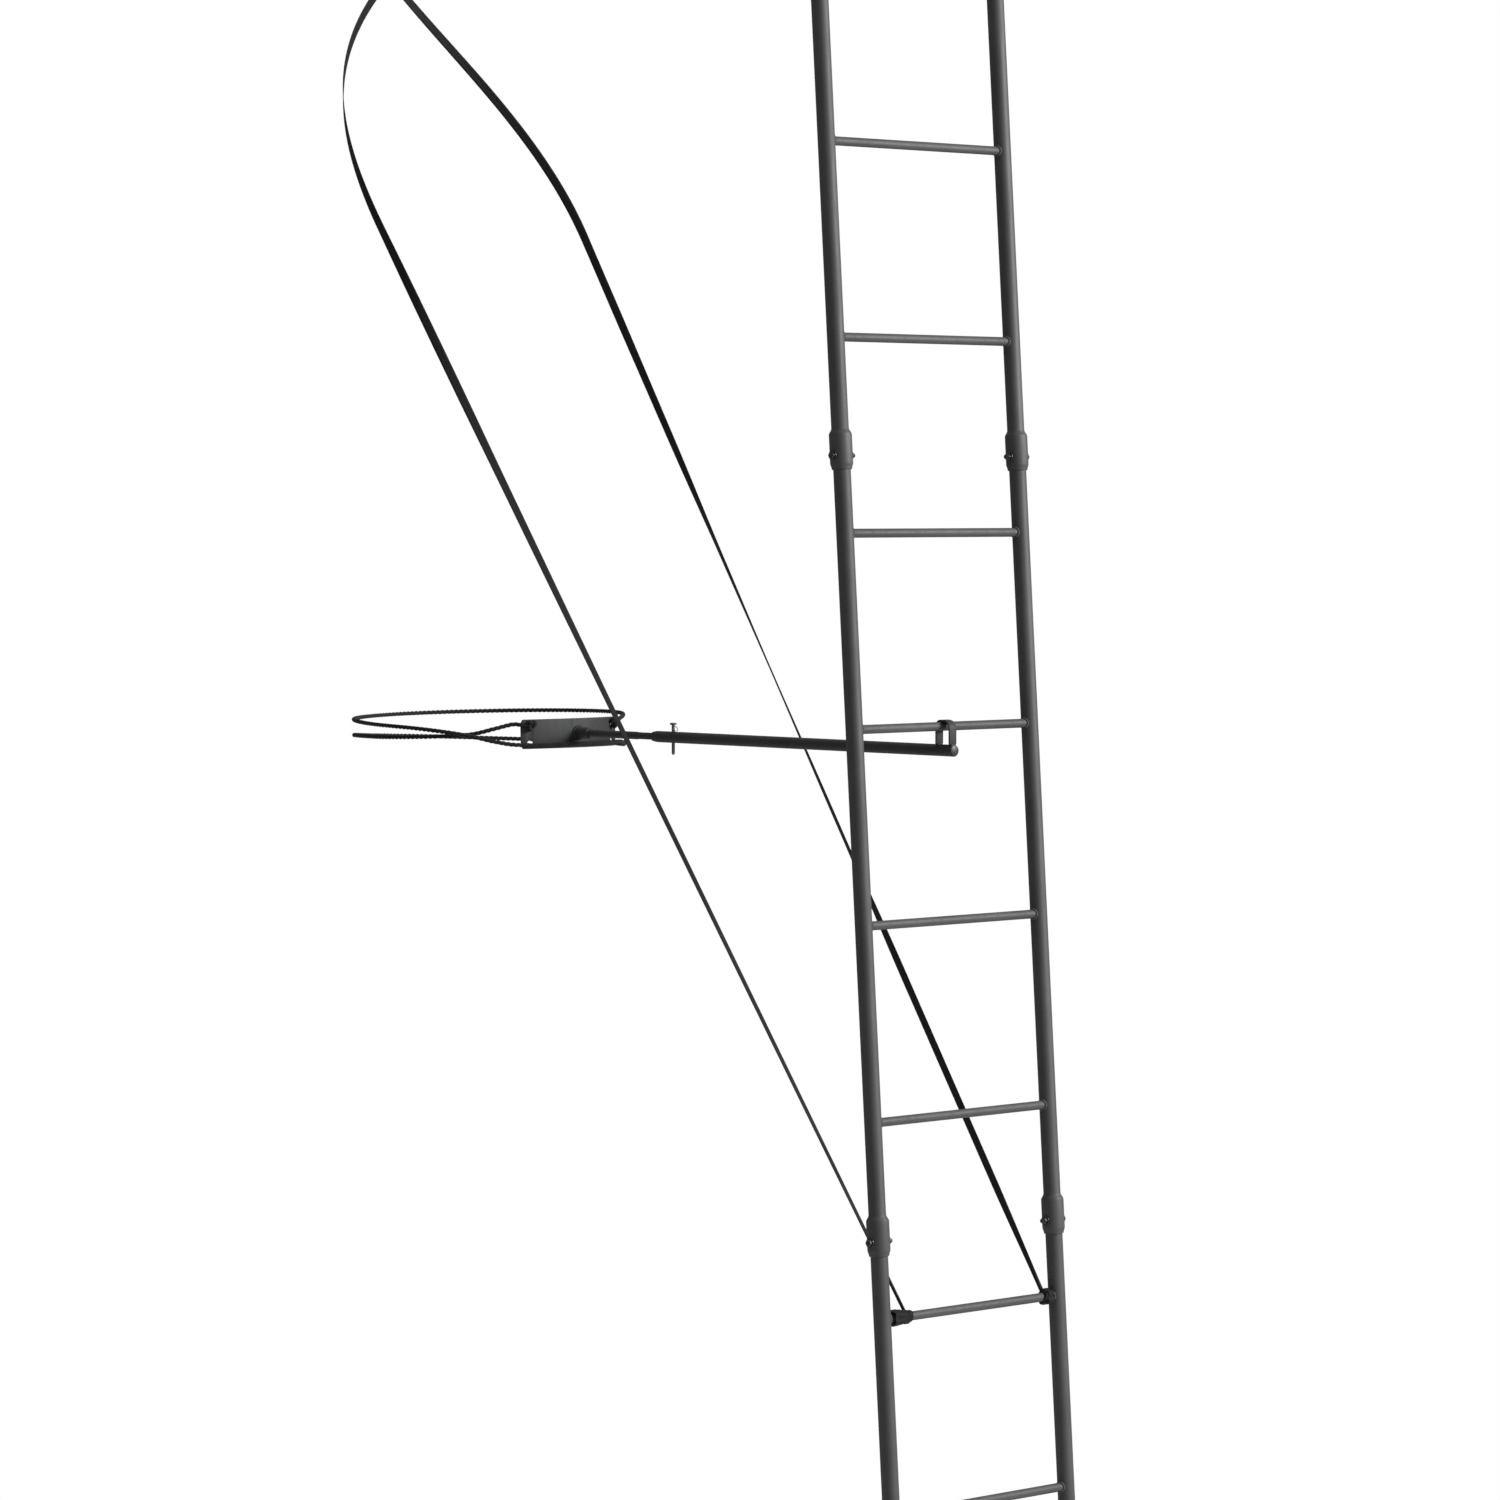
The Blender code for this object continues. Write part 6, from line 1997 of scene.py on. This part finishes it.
def build_stabiliser_strap(name, x, side, lift, twists):
    path, free = strap_route(x, side, lift, 0.015)
    rung = on_ladder(x, rung_along(STRAP_RUNG))
    for k in range(free):
        path[k] = path[k] + Vector((0, 0, -1)) * STRAP_SAG * sin(pi * k / free)
    outlines, ups = [], []
    for k, point in enumerate(path):
        share = k / free
        gather = eased(min(1.0, share / 0.10))
        width = STRAP_WIDTH * (0.42 + 0.58 * gather)
        thickness = 0.0015 + 0.0030 * (1 - gather)
        outlines.append(tuple(strap_outline(width, thickness)))
        twist = Matrix.Rotation(radians(between(twists, share)), 3, heading(path, k))
        ups.append(twist @ away_from_trunk(point, k))
    bm = swept(path, outlines, up=lambda p, k: ups[k])
    strap = piece(
        f"{name}_stabiliser_webbing", bm, WEBBING, "root", [f"{name}_stabiliser_strap"],
        60,
    )

    # Turns round the rung beside the rail, and a half hitch where the strap leaves them.
    outward = 1 if x > 0 else -1
    rail_side = outward * (RAIL_X - RAIL_R - 0.0115)
    axis_at = on_ladder(0, rung_along(STRAP_RUNG))

    def off_rung(point, _):
        return Vector((0, point.y - axis_at.y, point.z - axis_at.z)).normalized()

    # Three layers, each a helix: the outer one is thick beside the rail and thins away from it.
    wrap = bmesh.new()
    total, count = 4.25, 190
    for layer in range(3):
        turns = []
        for k in range(count):
            share = k / (count - 1)
            a = 2 * pi * (total * share + 0.31 * layer)
            along_x = rail_side + (x - rail_side) * share
            bulk = RUNG_R + 0.0012 + 0.0021 * layer * (1 - share) ** 0.7
            bulk += 0.0009 * layer * (1 - share) * sin(5 * a)
            along = bulk * cos(a) + rung_along(STRAP_RUNG)
            turns.append(LADDER @ Vector((along_x, bulk * sin(a), along)))
        add_to(wrap, swept(turns, tuple(strap_outline(0.0150, 0.0023)), up=off_rung))
    hitch = []
    for k in range(40):
        a = 2 * pi * k / 40
        spread = 0.0105 + 0.0014 * sin(3 * a)
        slant = 0.0045 * sin(a + 0.6) - outward * 0.001
        hitch.append(rung + Vector((slant, spread * cos(a), spread * sin(a))))
    add_to(wrap, swept(hitch, tuple(strap_outline(0.0095, 0.0032)), True, up=off_rung))
    wrapped = piece(f"{name}_rung_wrap", wrap, WEBBING, "root", (), 60)

    # At the far side tube the strap is gathered, goes once round the tube and is knotted.
    end = path[-1]
    tube_x = side * RAIL_X
    loop_y = PLATFORM_REAR - 0.0070
    bend = 0.0030
    half = SIDE_TUBE / 2 + 0.0012 - bend
    corners = [(-half, -half), (half, -half), (half, half), (-half, half)]
    loop = []
    for n, (cx, cz) in enumerate(corners):
        for k in range(5):
            a = -pi + pi / 2 * n + pi / 2 * k / 4
            x_now, z_now = tube_x + cx + bend * cos(a), SIDE_MIDDLE_Z + cz + bend * sin(a)
            loop.append(Vector((x_now, loop_y, z_now)))

    def off_tube(point, _):
        return (Vector((point.x, 0, point.z)) - Vector((tube_x, 0, SIDE_MIDDLE_Z))).normalized()

    band = swept(loop, tuple(strap_outline(0.0120, 0.0022)), True, up=off_tube)
    knot_at = Vector((tube_x, loop_y, SIDE_UNDERSIDE - 0.006))
    link = smooth_path([end, end.lerp(knot_at, 0.5) + Vector((0, 0, -0.001)), knot_at], 0.003)
    if (end - knot_at).length > 0.004:
        add_to(band, swept(link, tuple(strap_outline(0.0120, 0.0028)), up=away_from_trunk))
    lumps = [
        knot_at + Vector((0.0034 * u, 0.0034 * w, 0.0030 * v)) for u, v, w in trefoil(44)
    ]
    add_to(band, swept(lumps, tuple(circle(0.0034, 9, 0.6)), True, up=facing_y))
    tied = piece(f"{name}_tube_tie", band, WEBBING, "root", (), 60)


# ---------------------------------------------------------------- stage


# Name, direction from the stand, distance in metres and power in watts
LIGHTS = (
    ("key", (0.52, -0.80, 0.30), 8.0, 980.0),
    ("fill", (-0.9, -0.2, 0.55), 8.0, 50.0),
    ("top", (0.1, 0.3, 1.0), 7.0, 150.0),
)
LIGHT_SIZE = 4.0
BACKDROP_LIGHT = 0.20
EYE_PLACE = (-7.066, -8.368, 2.557)
EYE_TURN = 0.7491
EYE_PITCH = -0.0257
EYE_ROLL = -0.0187
EYE_LENS = 130.6


def build_stage():
    scene = bpy.context.scene
    scene.view_settings.view_transform = "Standard"
    world = bpy.data.worlds.new("studio")
    scene.world = world
    world.use_nodes = True
    tree = world.node_tree
    backdrop = tree.nodes["Background"]
    backdrop.inputs["Color"].default_value = (1, 1, 1, 1)
    rays = new_node(tree, "ShaderNodeLightPath")
    # The backdrop is white to the eye, and lights the stand only softly.
    strength = ramp(tree, rays.outputs["Is Camera Ray"], 0.0, 1.0, BACKDROP_LIGHT, 1.0)
    tree.links.new(strength, backdrop.inputs["Strength"])

    floor = bmesh.new()
    bmesh.ops.create_cone(
        floor, cap_ends=True, segments=128, radius1=3.8, radius2=3.8, depth=0.02,
        matrix=at(0, -0.6, -0.0105),
    )
    mesh = mesh_of(floor, "studio_floor")
    material, tree, shader, place = start_material("pale floor")
    grain = put_group(tree, "grain", {"Place": place, "Fineness": 60.0, "Patch size": 0.8})
    top = blend_colours(
        tree, grain["Patches"], (0.78, 0.78, 0.77, 1), (0.82, 0.82, 0.81, 1)
    )
    tree.links.new(top, shader.inputs["Base Color"])
    shader.inputs["Roughness"].default_value = 0.8
    mesh.materials.append(material)
    new_object("studio_floor", mesh)

    middle = Vector((0, -0.9, 2.5))
    for name, direction, distance, power in LIGHTS:
        light = bpy.data.lights.new(name, "AREA")
        light.shape = "DISK"
        light.size = LIGHT_SIZE
        light.energy = power
        lamp = new_object(name, light)
        away = Vector(direction).normalized()
        lamp.location = middle + away * distance
        lamp.rotation_mode = "QUATERNION"
        lamp.rotation_quaternion = away.to_track_quat("Z", "Y")

    forward = Vector(
        (sin(EYE_TURN) * cos(EYE_PITCH), cos(EYE_TURN) * cos(EYE_PITCH), sin(EYE_PITCH))
    )
    level = Vector((cos(EYE_TURN), -sin(EYE_TURN), 0))
    upright = level.cross(forward)
    right = level * cos(EYE_ROLL) + upright * sin(EYE_ROLL)
    up = upright * cos(EYE_ROLL) - level * sin(EYE_ROLL)
    camera = bpy.data.cameras.new("camera")
    camera.lens = EYE_LENS
    camera.sensor_width = 36
    camera.clip_end = 200
    eye = new_object("camera", camera)
    turned = Matrix((right, up, -forward)).transposed().to_4x4()
    eye.matrix_world = Matrix.Translation(EYE_PLACE) @ turned
    scene.camera = eye


build_ladder()
build_platform()
build_seat_pan()
build_cushion()
build_shooting_rail()
build_upper_strap()
build_ratchet()
build_brace()
build_stabiliser_strap("left", LEFT_STRAP_X, 1, 0.0012, LEFT_TWISTS)
build_stabiliser_strap("right", RIGHT_STRAP_X, -1, 0.0032, RIGHT_TWISTS)
build_stage()

bpy.context.view_layer.update()
